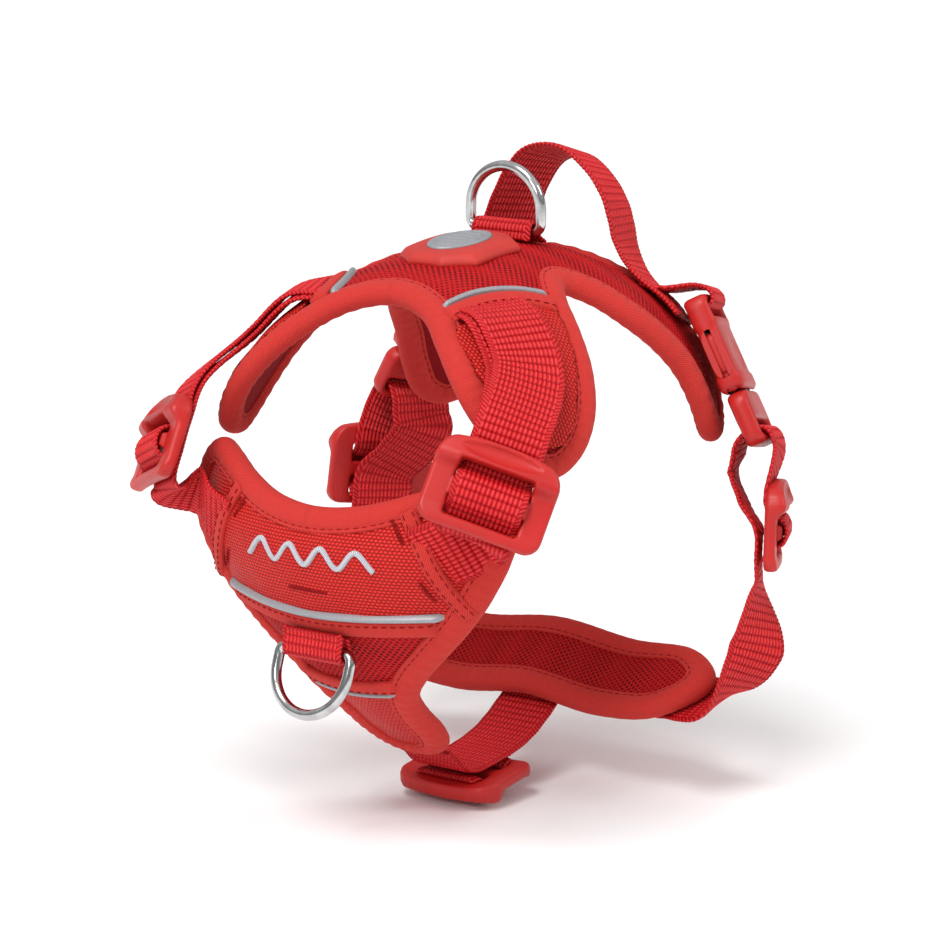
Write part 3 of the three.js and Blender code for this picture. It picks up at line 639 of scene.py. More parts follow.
class Nodes:
    """Short ways to add shader nodes to one material."""

    def __init__(self, name):
        self.material = bpy.data.materials.new(name)
        self.material.use_nodes = True
        self.tree = self.material.node_tree
        self.shader = self.tree.nodes["Principled BSDF"]

    def add(self, kind, **settings):
        """A node with its settings; in_0, in_1 and so on are its inputs, values or other nodes' outputs."""
        made = self.tree.nodes.new("ShaderNode" + kind)
        for key, value in settings.items():
            if not key.startswith("in_"):
                setattr(made, key, value)
            elif hasattr(value, "is_linked"):
                self.tree.links.new(value, made.inputs[int(key[3:])])
            else:
                made.inputs[int(key[3:])].default_value = value
        return made

    def math(self, operation, a, b=0.0, c=0.0):
        return self.add("Math", operation=operation, in_0=a, in_1=b, in_2=c).outputs[0]

    def scaled(self, value, factor, offset=0.0):
        return self.math("MULTIPLY_ADD", value, factor, offset)

    def squares(self, a, b):
        return self.scaled(a, a, self.scaled(b, b))

    def noise(self, scale, detail=2.0):
        made = self.add("TexNoise")
        made.inputs["Scale"].default_value = scale
        made.inputs["Detail"].default_value = detail
        self.tree.links.new(self.add("TexCoord").outputs["Object"], made.inputs["Vector"])
        return made.outputs["Fac"]

    def cloth(self):
        """The cloth's own coordinates, in cloth units."""
        split = self.add("SeparateXYZ", in_0=self.add("UVMap", uv_map="cloth").outputs[0])
        return split.outputs[0], split.outputs[1]

    def rows(self, value, pitch):
        """Counts rows of this pitch in metres, of a cloth coordinate; the start keeps the count above 0."""
        return self.scaled(value, CLOTH_UNIT / pitch, 200.0)

    def across_row(self, count):
        """From -1 to 1 across each row."""
        return self.scaled(self.math("FRACT", count), 2.0, -1.0)

    def bricked(self, rows, value, pitch):
        """Counts along the rows, with every second row shifted by half a pitch."""
        odd = self.math("MODULO", self.math("FLOOR", rows), 2.0)
        return self.scaled(odd, 0.5, self.rows(value, pitch))

    def wave(self, value, pitch):
        """A sine between 0 and 1 with this pitch in metres, of a cloth coordinate."""
        turns = self.scaled(value, 2 * math.pi * CLOTH_UNIT / pitch)
        return self.scaled(self.math("SINE", turns), 0.5, 0.5)

    def set(self, **values):
        for key, value in values.items():
            self.shader.inputs[key.replace("_", " ")].default_value = value

    def finish(self, tone, stops, height, strength, depth, **values):
        """Colours the surface by tone, raises it by height, and sets the shader's other values."""
        self.tree.links.new(colour_ramp(self.tree, tone, stops), self.shader.inputs["Base Color"])
        bump = self.add("Bump")
        bump.inputs["Strength"].default_value = strength
        bump.inputs["Distance"].default_value = depth
        self.tree.links.new(height, bump.inputs["Height"])
        self.tree.links.new(bump.outputs[0], self.shader.inputs["Normal"])
        self.set(**values)
        return self.material


def shades(colour, *stops):
    """Ramp stops of one colour, each with how bright it is there."""
    return [(place, tuple(min(1, c * factor) for c in colour)) for place, factor in stops]


RED_WEB = (0.54, 0.008, 0.012)
RED_TAPE = (0.53, 0.036, 0.030)
RED_MESH = (0.46, 0.005, 0.008)
RED_OXFORD = (0.56, 0.013, 0.010)
RED_LINING = (0.26, 0.006, 0.010)
RED_PLASTIC = (0.47, 0.014, 0.012)
RED_RUBBER = (0.50, 0.030, 0.022)
RED_THREAD = (0.26, 0.004, 0.007)
GREY_TAPE = (0.30, 0.31, 0.33)


def webbing_material():
    """Ribbed floats side by side, with a chevron weave along both selvedges, coloured with painted shade in the
    gaps and a painted highlight on the float tops.
    """
    made = Nodes("nylon_webbing")
    u, v = made.cloth()
    off_middle = made.math("ABSOLUTE", v)
    sides = made.across_row(made.scaled(v, CLOTH_UNIT / WEB_RIB))
    ends = made.across_row(made.scaled(u, CLOTH_UNIT / WEB_ROW))
    falls = made.scaled(sides, sides, made.math("POWER", made.math("ABSOLUTE", ends), 4.0))
    floats = made.math("SUBTRACT", 1.1, falls)
    rim = made.math("GREATER_THAN", off_middle, (WEBBING_WIDTH / 2 - SELVEDGE) / CLOTH_UNIT)
    chevron = made.wave(made.scaled(off_middle, 0.68, u), CHEVRON_PITCH)
    weave = made.add("Mix", data_type="FLOAT", in_0=rim, in_2=floats, in_3=chevron).outputs[0]
    fibres = made.wave(made.scaled(u, 0.12, v), 0.45 * MM)
    tone = made.scaled(fibres, 0.16, made.scaled(weave, 0.84, -0.09))
    tone = made.scaled(made.noise(120), 0.18, tone)
    # painted shade and highlight: the ramp colours the gaps between floats dark red and the float tops a pale
    # pink
    stops = [(0.1, (0.34, 0.001, 0.004)), (0.4, (0.48, 0.003, 0.008)), (0.7, RED_WEB),
             (1.0, (0.70, 0.040, 0.042))]
    return made.finish(tone, stops, tone, 0.7, 0.4 * MM, Roughness=0.5, Specular_IOR_Level=0.22)


def tape_material():
    """Matt binding tape with a slanting rib."""
    made = Nodes("binding_tape")
    u, v = made.cloth()
    rib = made.wave(made.scaled(v, 1.1, u), 0.95 * MM)
    tone = made.scaled(made.noise(900), 0.35, made.scaled(rib, 0.65))
    return made.finish(tone, shades(RED_TAPE, (0.1, 0.72), (0.55, 1), (1.0, 1.22)), tone, 0.45, 0.16 * MM,
                       Roughness=0.86, Sheen_Weight=0.12, Sheen_Roughness=0.5, Sheen_Tint=(1, 0.45, 0.4, 1),
                       Specular_IOR_Level=0.1)


def mesh_material():
    """Air mesh: holes between fine yarns, on the same pattern as mesh_relief, with painted shade darkening the
    holes and a painted highlight on the yarn tops.
    """
    made = Nodes("air_mesh")
    u, v = made.cloth()
    rows = made.rows(u, MESH_ROW)
    a = made.math("ADD", made.math("FRACT", rows), -0.5)
    b = made.scaled(made.math("FRACT", made.bricked(rows, v, MESH_HOLE)), 1.25, -0.625)
    from_hole = made.math("SQRT", made.squares(a, b))
    yarns = made.wave(made.scaled(v, 0.6, u), 0.6 * MM)
    tone = made.scaled(yarns, 0.16, made.scaled(from_hole, 1.35, -0.2))
    # painted shade: the holes are coloured near black; painted highlight: the yarn tops are coloured paler than
    # the cloth
    stops = [(0.08, (0.10, 0.001, 0.002)), *shades(RED_MESH, (0.3, 0.6), (0.55, 1)),
             (0.85, (0.58, 0.016, 0.016))]
    return made.finish(tone, stops, tone, 0.7, 0.4 * MM, Roughness=0.62, Specular_IOR_Level=0.14)


def oxford_material():
    """Coarse cloth of round beads laid like bricks, with painted shade between the beads and a painted highlight
    on their tops.
    """
    made = Nodes("oxford_cloth")
    u, v = made.cloth()
    rows = made.rows(u, 1.15 * MM)
    a = made.across_row(rows)
    b = made.across_row(made.bricked(rows, v, 1.5 * MM))
    bead = made.math("SUBTRACT", 1.1, made.squares(a, b))
    tone = made.scaled(made.noise(700), 0.25, made.scaled(bead, 0.8))
    # painted shade: the gaps between beads are coloured dark; painted highlight: the bead tops are coloured
    # paler
    stops = [(0.02, (0.24, 0.002, 0.003)), *shades(RED_OXFORD, (0.35, 0.8), (0.6, 1)),
             (0.95, (0.68, 0.035, 0.026))]
    return made.finish(tone, stops, bead, 0.7, 0.35 * MM, Roughness=0.5, Specular_IOR_Level=0.18)


def lining_material():
    made = Nodes("lining_cloth")
    u, v = made.cloth()
    weave = made.scaled(made.wave(u, 0.7 * MM), made.wave(v, 0.7 * MM))
    tone = made.scaled(made.noise(500), 0.4, made.scaled(weave, 0.6))
    return made.finish(tone, shades(RED_LINING, (0.1, 0.6), (0.9, 1.5)), weave, 0.35, 0.15 * MM, Roughness=0.8,
                       Specular_IOR_Level=0.1)


def plastic_material(name, colour, roughness):
    made = Nodes(name)
    worn = made.noise(45, 4)
    rough = made.scaled(worn, 0.18, roughness - 0.09)
    made.tree.links.new(rough, made.shader.inputs["Roughness"])
    return made.finish(worn, shades(colour, (0.3, 0.9), (0.75, 1.12)), made.noise(2600), 0.12, 0.05 * MM,
                       Specular_IOR_Level=0.38)


def steel_material():
    made = Nodes("polished_steel")
    brushed = made.noise(240, 3)
    rough = made.scaled(made.noise(60, 3), 0.12, 0.08)
    made.tree.links.new(rough, made.shader.inputs["Roughness"])
    stops = [(0.3, (0.42, 0.42, 0.43)), (0.8, (0.66, 0.66, 0.66))]
    return made.finish(brushed, stops, brushed, 0.04, 0.05 * MM, Metallic=1.0)


def reflective_material():
    made = Nodes("reflective_tape")
    beads = made.noise(3500)
    return made.finish(beads, shades(GREY_TAPE, (0.3, 0.75), (0.75, 1.3)), beads, 0.3, 0.05 * MM,
                       Roughness=0.45, Metallic=0.25, Specular_IOR_Level=0.6)


def satin_material():
    """Embroidery: thread laid side by side across the line."""
    made = Nodes("embroidery_thread")
    u, v = made.cloth()
    threads = made.wave(made.scaled(v, 0.3, u), 0.55 * MM)
    stops = [(0.0, (0.30, 0.32, 0.38)), (0.5, (0.56, 0.58, 0.63)), (1.0, (0.70, 0.72, 0.76))]
    return made.finish(threads, stops, threads, 0.8, 0.25 * MM, Roughness=0.45, Specular_IOR_Level=0.4)


def thread_material():
    made = Nodes("stitch_thread")
    twist = made.noise(1800)
    return made.finish(twist, shades(RED_THREAD, (0.3, 0.7), (0.8, 1.3)), twist, 0.3, 0.05 * MM, Roughness=0.6,
                       Specular_IOR_Level=0.12)


# Each look: its material, and the name of a slot, which this script does not read.
LOOKS = {
    "webbing": (webbing_material(), "webbing"),
    "tape": (tape_material(), "binding"),
    "mesh": (mesh_material(), "air_mesh"),
    "oxford": (oxford_material(), "oxford"),
    "lining": (lining_material(), "lining"),
    "plastic": (plastic_material("moulded_plastic", RED_PLASTIC, 0.42), "plastic"),
    "rubber": (plastic_material("soft_rubber", RED_RUBBER, 0.58), "rubber"),
    "steel": (steel_material(), "steel"),
    "reflective": (reflective_material(), "reflective"),
    "stitch": (thread_material(), "thread"),
    "satin": (satin_material(), "thread"),
}


# ---- camera, floor and light ----
CAMERA_TURN = 36
CAMERA_RISE = 12
CAMERA_DISTANCE = 1.3
CAMERA_LENS = 142.9
FLOOR_HALF = 6.0
FLOOR_BELOW = 5 * MM
# The sky's tone by height, 0 at the horizon. The steel mirrors the darker band over the pale backdrop.
SKY_TONES = ((0.0, 0.9), (0.09, 0.9), (0.14, 0.2), (0.35, 0.45), (0.8, 0.8))
SKY_STRENGTH = 0.9
# Name, place, size and power of each lamp; they all point at the harness.
LAMPS = (("front", (1.1, 0.2, 0.55), 0.35, 3.2), ("rim", (-0.5, 1.1, 0.9), 0.5, 4))


def camera():
    turn, rise = math.radians(CAMERA_TURN), math.radians(CAMERA_RISE)
    away = Vector((math.cos(rise) * math.cos(turn), math.cos(rise) * math.sin(turn), math.sin(rise)))
    data = bpy.data.cameras.new("camera")
    data.lens = CAMERA_LENS
    data.sensor_width = 36
    data.clip_start = 0.01
    bpy.context.scene.camera = add_object("camera", data, away * CAMERA_DISTANCE, away)
    bpy.context.scene.view_settings.view_transform = "Standard"


def floor():
    height = CAD_BOUNDS[0][2] - FLOOR_BELOW
    corners = [(x * FLOOR_HALF, y * FLOOR_HALF, height) for x, y in ((-1, -1), (1, -1), (1, 1), (-1, 1))]
    mesh = bpy.data.meshes.new("floor")
    mesh.from_pydata(corners, [], [(0, 1, 2, 3)])
    white = Nodes("pale_floor")
    white.set(Base_Color=(0.93, 0.93, 0.93, 1), Roughness=0.9, Specular_IOR_Level=0.1)
    mesh.materials.append(white.material)
    add_object("floor", mesh)


def sky():
    world = bpy.data.worlds.new("studio")
    world.use_nodes = True
    tree = world.node_tree
    split = tree.nodes.new("ShaderNodeSeparateXYZ")
    tree.links.new(tree.nodes.new("ShaderNodeTexCoord").outputs["Generated"], split.inputs[0])
    tones = colour_ramp(tree, split.outputs[2], [(place, (tone, tone, tone)) for place, tone in SKY_TONES])
    background = tree.nodes["Background"]
    tree.links.new(tones, background.inputs[0])
    background.inputs[1].default_value = SKY_STRENGTH
    bpy.context.scene.world = world


def lamps():
    sun = bpy.data.lights.new("soft_sun", "SUN")
    sun.energy = 2.0
    sun.angle = math.radians(28)
    add_object("soft_sun", sun, away=(0.75, 0.1, 1.25))
    for name, place, size, power in LAMPS:
        lamp = bpy.data.lights.new(name, "AREA")
        lamp.shape = "DISK"
        lamp.size = size
        lamp.energy = power
        add_object(name, lamp, place, place)


# ---- strips ----
TUCK_DEPTH = 0.4 * MM
STRIP_COLUMNS = 9


def strip_on(name, surface, points, width, low, high, look, replaces=(), stitched=(), rounded=0.3,
             mirror=False, tuck=0.0):
    """A flat or rounded strip laid along a line of flat points. Its ends sink over the length tuck."""
    line = evenly(smooth_curve(points), 0.8 * MM)
    along = unit(np.gradient(line, axis=0))
    side = np.stack([-along[:, 1], along[:, 0]], 1) * width / 2
    run = lengths_along(line)
    sunk = smoothstep(np.minimum(run, run[-1] - run) / tuck) - 1 if tuck else 0 * run
    sunk *= high + TUCK_DEPTH
    crowned = [(share * 0.985, low + (high - low) * (1 - rounded * share ** 4))
               for share in np.linspace(-1, 1, STRIP_COLUMNS)]
    section = [(-1, low), *crowned, (1, low)]
    places = [laid(surface, line + side * share, height + sunk) for share, height in section]
    flat = [np.stack([run, np.full(len(run), share * width / 2)], 1) for share, _ in section]
    rows, columns = len(section), len(run)
    faces = [list(f) for f in grid_faces(rows, columns, ring_rows=True)]
    faces.append([r * columns for r in range(rows)])
    faces.append([r * columns + columns - 1 for r in reversed(range(rows))])
    piece(name, np.concatenate(places), turned(faces), look, replaces=replaces, flat=np.concatenate(flat),
          mirror=mirror)
    for letter, share in zip("ab", stitched):
        seam, up = seat_on(surface, line + side * share, high + 0.1 * MM + sunk)
        if mirror:
            seam, up = mirror_y(seam), mirror_y(up)
        stitches(name + "_stitches" + letter, seam, up)


# ---- back ----
back_outline = closed_outline(back_flat(both_sides(BACK_HALF_OUTLINE)))
chest_outline = closed_outline(np.array(both_sides(CHEST_HALF_OUTLINE)) * MM)
PANEL_OUTLINE = [[52, 29], [58, 42], [59, 56], [55, 68], [46, 74], [37, 70], [29, 60], [21, 48], [16, 37],
                 [34, 29]]
PIPING_LINE = [[48, 19], [34, 21], [21, 26], [10, 33]]
TAPE_LINE = [[50, 23], [35, 25.5], [22, 30.5], [12, 37]]


def back_pad():
    made = pad("back_cushion", back_outline, back, PAD_DEPTH, 0.7 * MM, ["mesh", "lining"],
               ("back_pad", "back_lining"), relief=mesh_relief)
    binding("back_edge", back_outline, back, ("back_binding",))


def shoulder_trim():
    """The cloth pocket on each lobe of the back pad, and the piping and tape over its mouth."""
    for side, mirror in SIDES:
        outline = closed_outline(back_flat(PANEL_OUTLINE))
        if mirror:
            outline = closed_outline(outline * np.array([1, -1]))
        cloth = pad(side + "_shoulder_cloth", outline, back, 0.8 * MM, 0.2 * MM, ["oxford"],
                    (side + "_shoulder_panel",), pitch=1.0 * MM, inset=0.4 * MM, top=1.9 * MM)
        strip_on(side + "_shoulder_reflector", back, back_flat(PIPING_LINE), 2.4 * MM, 0.3 * MM, 2.5 * MM,
                 "reflective", (side + "_shoulder_piping",), rounded=0.8, mirror=mirror, tuck=4 * MM)
        strip_on(side + "_shoulder_tape", back, back_flat(TAPE_LINE), 6.5 * MM, 0.4 * MM, 3.0 * MM, "tape",
                 (side + "_shoulder_strip",), (-0.55,), mirror=mirror, tuck=3 * MM)


# ---- badge ----
BADGE_FRONT, BADGE_REAR, BADGE_SIDE, BADGE_CORNER = 25 * MM, -16 * MM, 14 * MM, 8 * MM
BADGE_MIDDLE = (BADGE_FRONT + BADGE_REAR) / 2
EMBLEM_LENGTH, EMBLEM_WIDTH = 14 * MM, 7.5 * MM


def badge_outline():
    front, rear, side, corner = BADGE_FRONT, BADGE_REAR, BADGE_SIDE, BADGE_CORNER
    return dense([
        (front, corner - side), (front, side - corner), (front - corner, side), (rear + corner, side),
        (rear, side - corner), (rear, corner - side), (rear + corner, -side), (front - corner, -side),
    ])


def badge():
    """A soft octagonal plate with sloping sides and a raised oval in the middle."""
    edges = badge_outline()

    def plate(x, y):
        return 2.4 * MM + 1.7 * MM * smoothstep(distance_to(edges, np.stack([x, y], 1)) / (2.6 * MM))

    def emblem(x, y):
        x = x - BADGE_MIDDLE
        out = np.hypot(x * EMBLEM_WIDTH / EMBLEM_LENGTH, y)
        groove = np.abs(out - 5.6 * MM) < 0.35 * MM
        bars = np.abs((x + 8 * MM) % (4 * MM) - 2 * MM) < 0.8 * MM
        bars &= (np.abs(y) < 3.6 * MM) & (out < 4.8 * MM)
        return 4.9 * MM - 0.5 * MM * (groove | bars)

    moulding("badge_moulding", edges, plate, 0.2 * MM, "rubber", on_surface(back), replaces=("badge",),
             corners=(0.6 * MM, 0.0))
    turns = np.linspace(0, 2 * math.pi, 300, endpoint=False)
    oval = np.stack([BADGE_MIDDLE + EMBLEM_LENGTH * np.cos(turns), EMBLEM_WIDTH * np.sin(turns)], 1)
    moulding("badge_mark", oval, emblem, 3.6 * MM, "reflective", on_surface(back), replaces=("badge_emblem",),
             corners=(0.4 * MM, 0.0), pitch=0.35 * MM)


# ---- D-rings ----
WIRE_RADIUS = 1.9 * MM
WIRE_SIDES = 20
RING_HALF_WIDTH = 15 * MM
RING_LEG = 7 * MM
RING_CORNER = 3 * MM


def arc_points(x, y, radius, start, end, count):
    turn = np.radians(np.linspace(start, end, count))
    return np.stack([x + radius * np.cos(turn), y + radius * np.sin(turn)], 1)


def ring_path():
    half, corner = RING_HALF_WIDTH, RING_CORNER
    bar = np.stack([np.linspace(corner - half, half - corner, 30, endpoint=False), np.zeros(30)], 1)
    return evenly(np.concatenate([
        bar,
        arc_points(half - corner, corner, corner, -90, 0, 8),
        arc_points(0, RING_LEG, half, 0, 180, 60),
        arc_points(corner - half, corner, corner, 180, 270, 8),
    ]), 0.7 * MM, closed=True)


def d_ring(name, matrix, node):
    path = ring_path()
    along = unit(np.roll(path, -1, 0) - np.roll(path, 1, 0))
    out = np.stack([along[:, 1], -along[:, 0]], 1)
    rings = []
    for k in range(WIRE_SIDES):
        turn = 2 * math.pi * k / WIRE_SIDES
        height = np.full((len(path), 1), WIRE_RADIUS * math.sin(turn))
        rings.append(np.concatenate([path + out * WIRE_RADIUS * math.cos(turn), height], 1))
    faces = grid_faces(len(path), WIRE_SIDES, ring_rows=True, ring_columns=True)
    piece(name, in_frame(matrix, np.stack(rings, 1).reshape(-1, 3)), faces, "steel", node, (node,))


TOP_RING_STATION = -22 * MM
TOP_BAR_HEIGHT = 4.6 * MM
ACROSS_DOG = (0, 1, 0)
top_ring_frame = strap_frame(back(TOP_RING_STATION, 0.0, TOP_BAR_HEIGHT), (0, 0, 1), ACROSS_DOG)


def top_ring():
    """The ring on the back, and the webbing that passes round its bar and is sewn to the pad."""
    d_ring("top_d_ring", top_ring_frame, "top_ring")
    turn = WIRE_RADIUS + GAP + WEBBING_THICKNESS / 2 + 0.1 * MM
    drop = TOP_BAR_HEIGHT - GAP - WEBBING_THICKNESS / 2 - 0.4 * MM
    bend = turn * 0.7
    line = [
        [0, -drop, turn + 0.4 * MM], [0, -1.5 * MM, turn], [0, bend, bend], [0, turn, 0], [0, bend, -bend],
        [0, -1.5 * MM, -turn], [0, 0.4 * MM - drop, -turn - 1.2 * MM], [0, -drop - 1.2 * MM, -turn - 4 * MM],
    ]
    webbing("top_ring_webbing", in_frame(top_ring_frame, line), ACROSS_DOG, ("top_ring_tab",))


# ---- handle ----
HANDLE_STATION = -60 * MM
HANDLE_ARCH = [[34.5, 62], [29.5, 67], [25.5, 74.5], [23.5, 82], [20.5, 90], [14, 98.5], [3, 105.5],
               [-9, 104], [-16, 97], [-22, 86], [-26, 76], [-29.5, 68], [-34.5, 62]]
HANDLE_SEAT = [48, 41]
HANDLE_SEAT_HEIGHT = 2.65 * MM


def handle():
    seats = [back(HANDLE_STATION, arc_of(angle), HANDLE_SEAT_HEIGHT) for angle in HANDLE_SEAT]
    points = seats + [np.array([HANDLE_STATION, y * MM, z * MM]) for y, z in HANDLE_ARCH]
    points += [mirror_y(p) for p in reversed(seats)]
    across = [[1, 0.42 * p[1] / (50 * MM), 0.28] for p in points]
    webbing("handle_webbing", points, across, ("handle",))


# ---- sliders ----
# How a strap passes over a slider's middle bar: along the strap and out of it, in mm.
OVER_BAR = [[13, -2.7], [9.6, -2.6], [7.0, -1.4], [5.5, 0.8], [4.7, 3.1], [2.0, 4.9], [-2.0, 4.8], [-4.7, 3.0],
            [-5.6, 0.8], [-7.2, -1.4], [-9.6, -2.6], [-10.5, -2.7]]
SLIDER_LENGTH, SLIDER_WIDTH = 42 * MM, 27 * MM
SLOT_LENGTH, SLOT_WIDTH, SLOT_MIDDLE = 24.9 * MM, 6.6 * MM, 6 * MM
THUMB_BOW = 4.2 * MM


def wrap_points(matrix):
    return mm_in_frame(matrix, [[0, -along, out] for along, out in OVER_BAR])


def rounded_box(width, length, corner, x=0.0, y=0.0):
    corners = ((1, -1, -90), (1, 1, 0), (-1, 1, 90), (-1, -1, 180))
    return dense(np.concatenate([
        arc_points(x + side * (width / 2 - corner), y + end * (length / 2 - corner), corner, start,
                   start + 90, 16)
        for side, end, start in corners]))


def slider(name, matrix, node, mirror=False):
    """A three-bar adjuster: a high thumb rail with a scooped oval, a low rail and a plain middle bar."""
    edge = rounded_box(SLIDER_LENGTH, SLIDER_WIDTH, 5.5 * MM)
    across = np.clip(1 - (edge[:, 0] / (SLIDER_LENGTH / 2)) ** 2, 0, 1)
    edge[:, 1] -= THUMB_BOW * np.sqrt(across) * smoothstep((-edge[:, 1] - 7 * MM) / (3 * MM))
    slots = [rounded_box(SLOT_LENGTH, SLOT_WIDTH, 0.9 * MM, 0, place) for place in (-SLOT_MIDDLE, SLOT_MIDDLE)]

    def top(x, y):
        end = (x / (SLIDER_LENGTH / 2)) ** 2
        rail = smoothstep((-y - 5 * MM) / (4 * MM)) * (1 - 0.3 * end)
        fall = np.clip((-y - 10 * MM) / (6.5 * MM), 0, 1)
        scoop = np.clip(1 - (x / (13.5 * MM)) ** 2 - ((y + 13.4 * MM) / (3 * MM)) ** 2, 0, 1)
        low_rail = smoothstep((y - 7 * MM) / (4 * MM))
        bar = (np.abs(y) < 2.8 * MM) * (np.abs(x) < 12.6 * MM)
        height = 2.2 + 1.6 * bar + rail * (4.4 - 2.8 * fall) - 2.2 * np.sqrt(scoop)
        return (height + 0.7 * low_rail - 0.6 * end) * MM

    def bottom(x, y):
        return (-1.6 - 0.9 * (x / (SLIDER_LENGTH / 2)) ** 2) * MM

    moulding(name, edge, top, bottom, "plastic", on_frame(matrix), node, (node,), mirror, slots,
             corners=(1.1 * MM, 1.0 * MM))


# ---- shoulder straps ----
LOBE_HEIGHT = 4.05 * MM
DOUBLED_LIFT = 2.3 * MM
shoulder_slider_frame = strap_frame(np.array([84, 69, 13]) * MM, (0.5, -0.05, -0.85), (0.5, -0.8, 0.33))


def shoulder_straps():
    """Each strap runs from under the back pad's tape, beneath the slider and into the chest pocket. Its other
    layer lies on top of it and turns over the slider's middle bar."""
    across = shoulder_slider_frame[:3, 0]
    seats = ((38, 35.5), (45.5, 51))
    lobe = [back(x * MM, arc_of(angle), LOBE_HEIGHT) for x, angle in seats]
    aside = unit((0.86, -0.5, 0.08)) * 2.2 * MM
    tucked = back(34 * MM, arc_of(26.5), 1.5 * MM)
    tucked_under = back(34.6 * MM, arc_of(27), 0.2 * MM) + aside * 0.6
    lower = [tucked_under, lobe[0] + aside, lobe[1] + aside * 0.8]
    lower += mm_in_frame(shoulder_slider_frame, [[0, -24, -5.5], [0, -12, -4.6], [0, 0, -4.6], [0, 13, -6.0]])
    lower += [chest(down * MM, side * MM, height * MM)
              for down, side, height in ((18, 58, 3.6), (23, 50, 1.9), (27.5, 42, -1.6))]
    pocket_across = unit(chest(22 * MM, 42 * MM) - chest(47 * MM, 54 * MM))
    along_tape = unit(back(45 * MM, arc_of(24.3), 0.0) - back(23 * MM, arc_of(30.3), 0.0))
    top_across = [along_tape, (0.87, -0.48, 0.03), (0.74, -0.62, 0.22)]
    above = [back(x * MM, arc_of(angle), LOBE_HEIGHT + DOUBLED_LIFT) for x, angle in seats]
    above += list(in_frame(shoulder_slider_frame, [[0, -24 * MM, -5.5 * MM + DOUBLED_LIFT]]))
    wrap = wrap_points(shoulder_slider_frame)
    for side, mirror in SIDES:
        body = side + "_shoulder_slider"
        webbing(side + "_shoulder_webbing", lower, top_across + [across] * 4 + [pocket_across] * 3,
                (side + "_shoulder_strap",), mirror)
        doubled = webbing(side + "_shoulder_doubled", [tucked, *above, *wrap],
                          top_across + [across] * (1 + len(wrap)), (side + "_shoulder_return",), mirror, None)
        on_side(above[0], mirror)
        on_side(above[2], mirror)
        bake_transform(doubled)
        slider(side + "_shoulder_adjuster", shoulder_slider_frame, body, mirror)


# ---- chest ----
PIPING_DOWN = 50 * MM
LOW_SEAM_DOWN = 84 * MM
POCKET_MOUTH = [[11, 35], [17, 38.5], [24, 42], [34, 46.5], [43, 51], [46, 52.5]]
# The sewn motif is a wave: where its middle lies, its height and half its length, in mm.
MOTIF_DOWN, MOTIF_HEIGHT, MOTIF_STEP, MOTIF_STEPS = 29, 3, 6.5, 8


def chest_zone(down, across):
    """1 where the plate is air mesh, between its two seams."""
    seam = PIPING_DOWN + 4 * MM - 3 * MM * (across / (42 * MM)) ** 2
    return np.where((down > seam) & (down < LOW_SEAM_DOWN), 1, 0)


def chest_relief(down, across):
    return np.where(chest_zone(down, across) == 1, mesh_relief(down, across), 1.0)


def chest_pad():
    made = pad("chest_cushion", chest_outline, chest, PAD_DEPTH, 0.6 * MM, ["oxford", "mesh", "lining"],
               ("chest_pad", "chest_lining"), chest_zone, chest_relief)
    binding("chest_edge", chest_outline, chest, ("chest_binding",))


def level(down, half, sag=3 * MM):
    return np.array([[down - sag, -half], [down, 0], [down - sag, half]])


def chest_trim():
    """The tape and piping over each of the two seams."""
    strip_on("chest_reflector", chest, level(PIPING_DOWN, 47 * MM), 2.4 * MM, 0.1 * MM, 2.6 * MM, "reflective",
             ("chest_piping",), rounded=0.8, tuck=5 * MM)
    strip_on("chest_tape", chest, level(PIPING_DOWN + 4.4 * MM, 44 * MM), 6.5 * MM, 0.1 * MM, 2.0 * MM, "tape",
             ("chest_strip",), (0.5,), tuck=5 * MM)
    strip_on("chest_low_tape", chest, level(LOW_SEAM_DOWN, 21 * MM, 2 * MM), 6 * MM, 0.1 * MM, 2.0 * MM, "tape",
             ("chest_low_strip",), (-0.5,), tuck=4 * MM)
    strip_on("chest_low_reflector", chest, level(LOW_SEAM_DOWN + 4 * MM, 19 * MM, 2 * MM), 1.8 * MM, 0.1 * MM,
             2.0 * MM, "reflective", ("chest_low_piping",), rounded=0.8, tuck=4 * MM)


def chest_pockets():
    """Double-stitched tapes over the mouths of the pockets that the shoulder straps go into."""
    for side, mirror in SIDES:
        strip_on(side + "_pocket_tape", chest, np.array(POCKET_MOUTH) * MM, 5.2 * MM, 0.2 * MM, 2.3 * MM, "tape",
                 stitched=(-0.6, 0.6), rounded=0.35, mirror=mirror)


BARTACK_WIDTH, BARTACK_STEP, BARTACK_HEIGHT = 1.6 * MM, 0.55 * MM, 0.9 * MM


def bartack(name, start, end):
    """A dense zigzag of thread on the chest that holds two layers together."""
    start, end = np.array(start) * MM, np.array(end) * MM
    count = int(np.linalg.norm(end - start) / BARTACK_STEP)
    along = unit(end - start)
    side = np.array([-along[1], along[0]]) * BARTACK_WIDTH / 2
    line = np.array([start + (end - start) * k / count + side * (1 if k % 2 else -1)
                     for k in range(count + 1)])
    leg = math.hypot(BARTACK_WIDTH, BARTACK_STEP)
    stitches(name, *seat_on(chest, line, BARTACK_HEIGHT), pitch=leg, length=leg)


def chest_bartacks():
    bartack("chest_bartack_middle", (41, -8), (41, 8))
    for name, side in (("right", -1), ("left", 1)):
        bartack("chest_bartack_" + name, (14, side * 30.5), (22, side * 35.5))
        bartack("chest_bartack_low_" + name, (34, side * 40), (41, side * 44))


def embroidery():
    wave = [[MOTIF_DOWN + MOTIF_HEIGHT * math.cos(math.pi * i), (i - MOTIF_STEPS / 2) * MOTIF_STEP]
            for i in range(MOTIF_STEPS + 1)]
    strip_on("chest_motif", chest, np.array(wave) * MM, 2.2 * MM, 0.0, 1.5 * MM, "satin", ("chest_embroidery",),
             rounded=0.9)


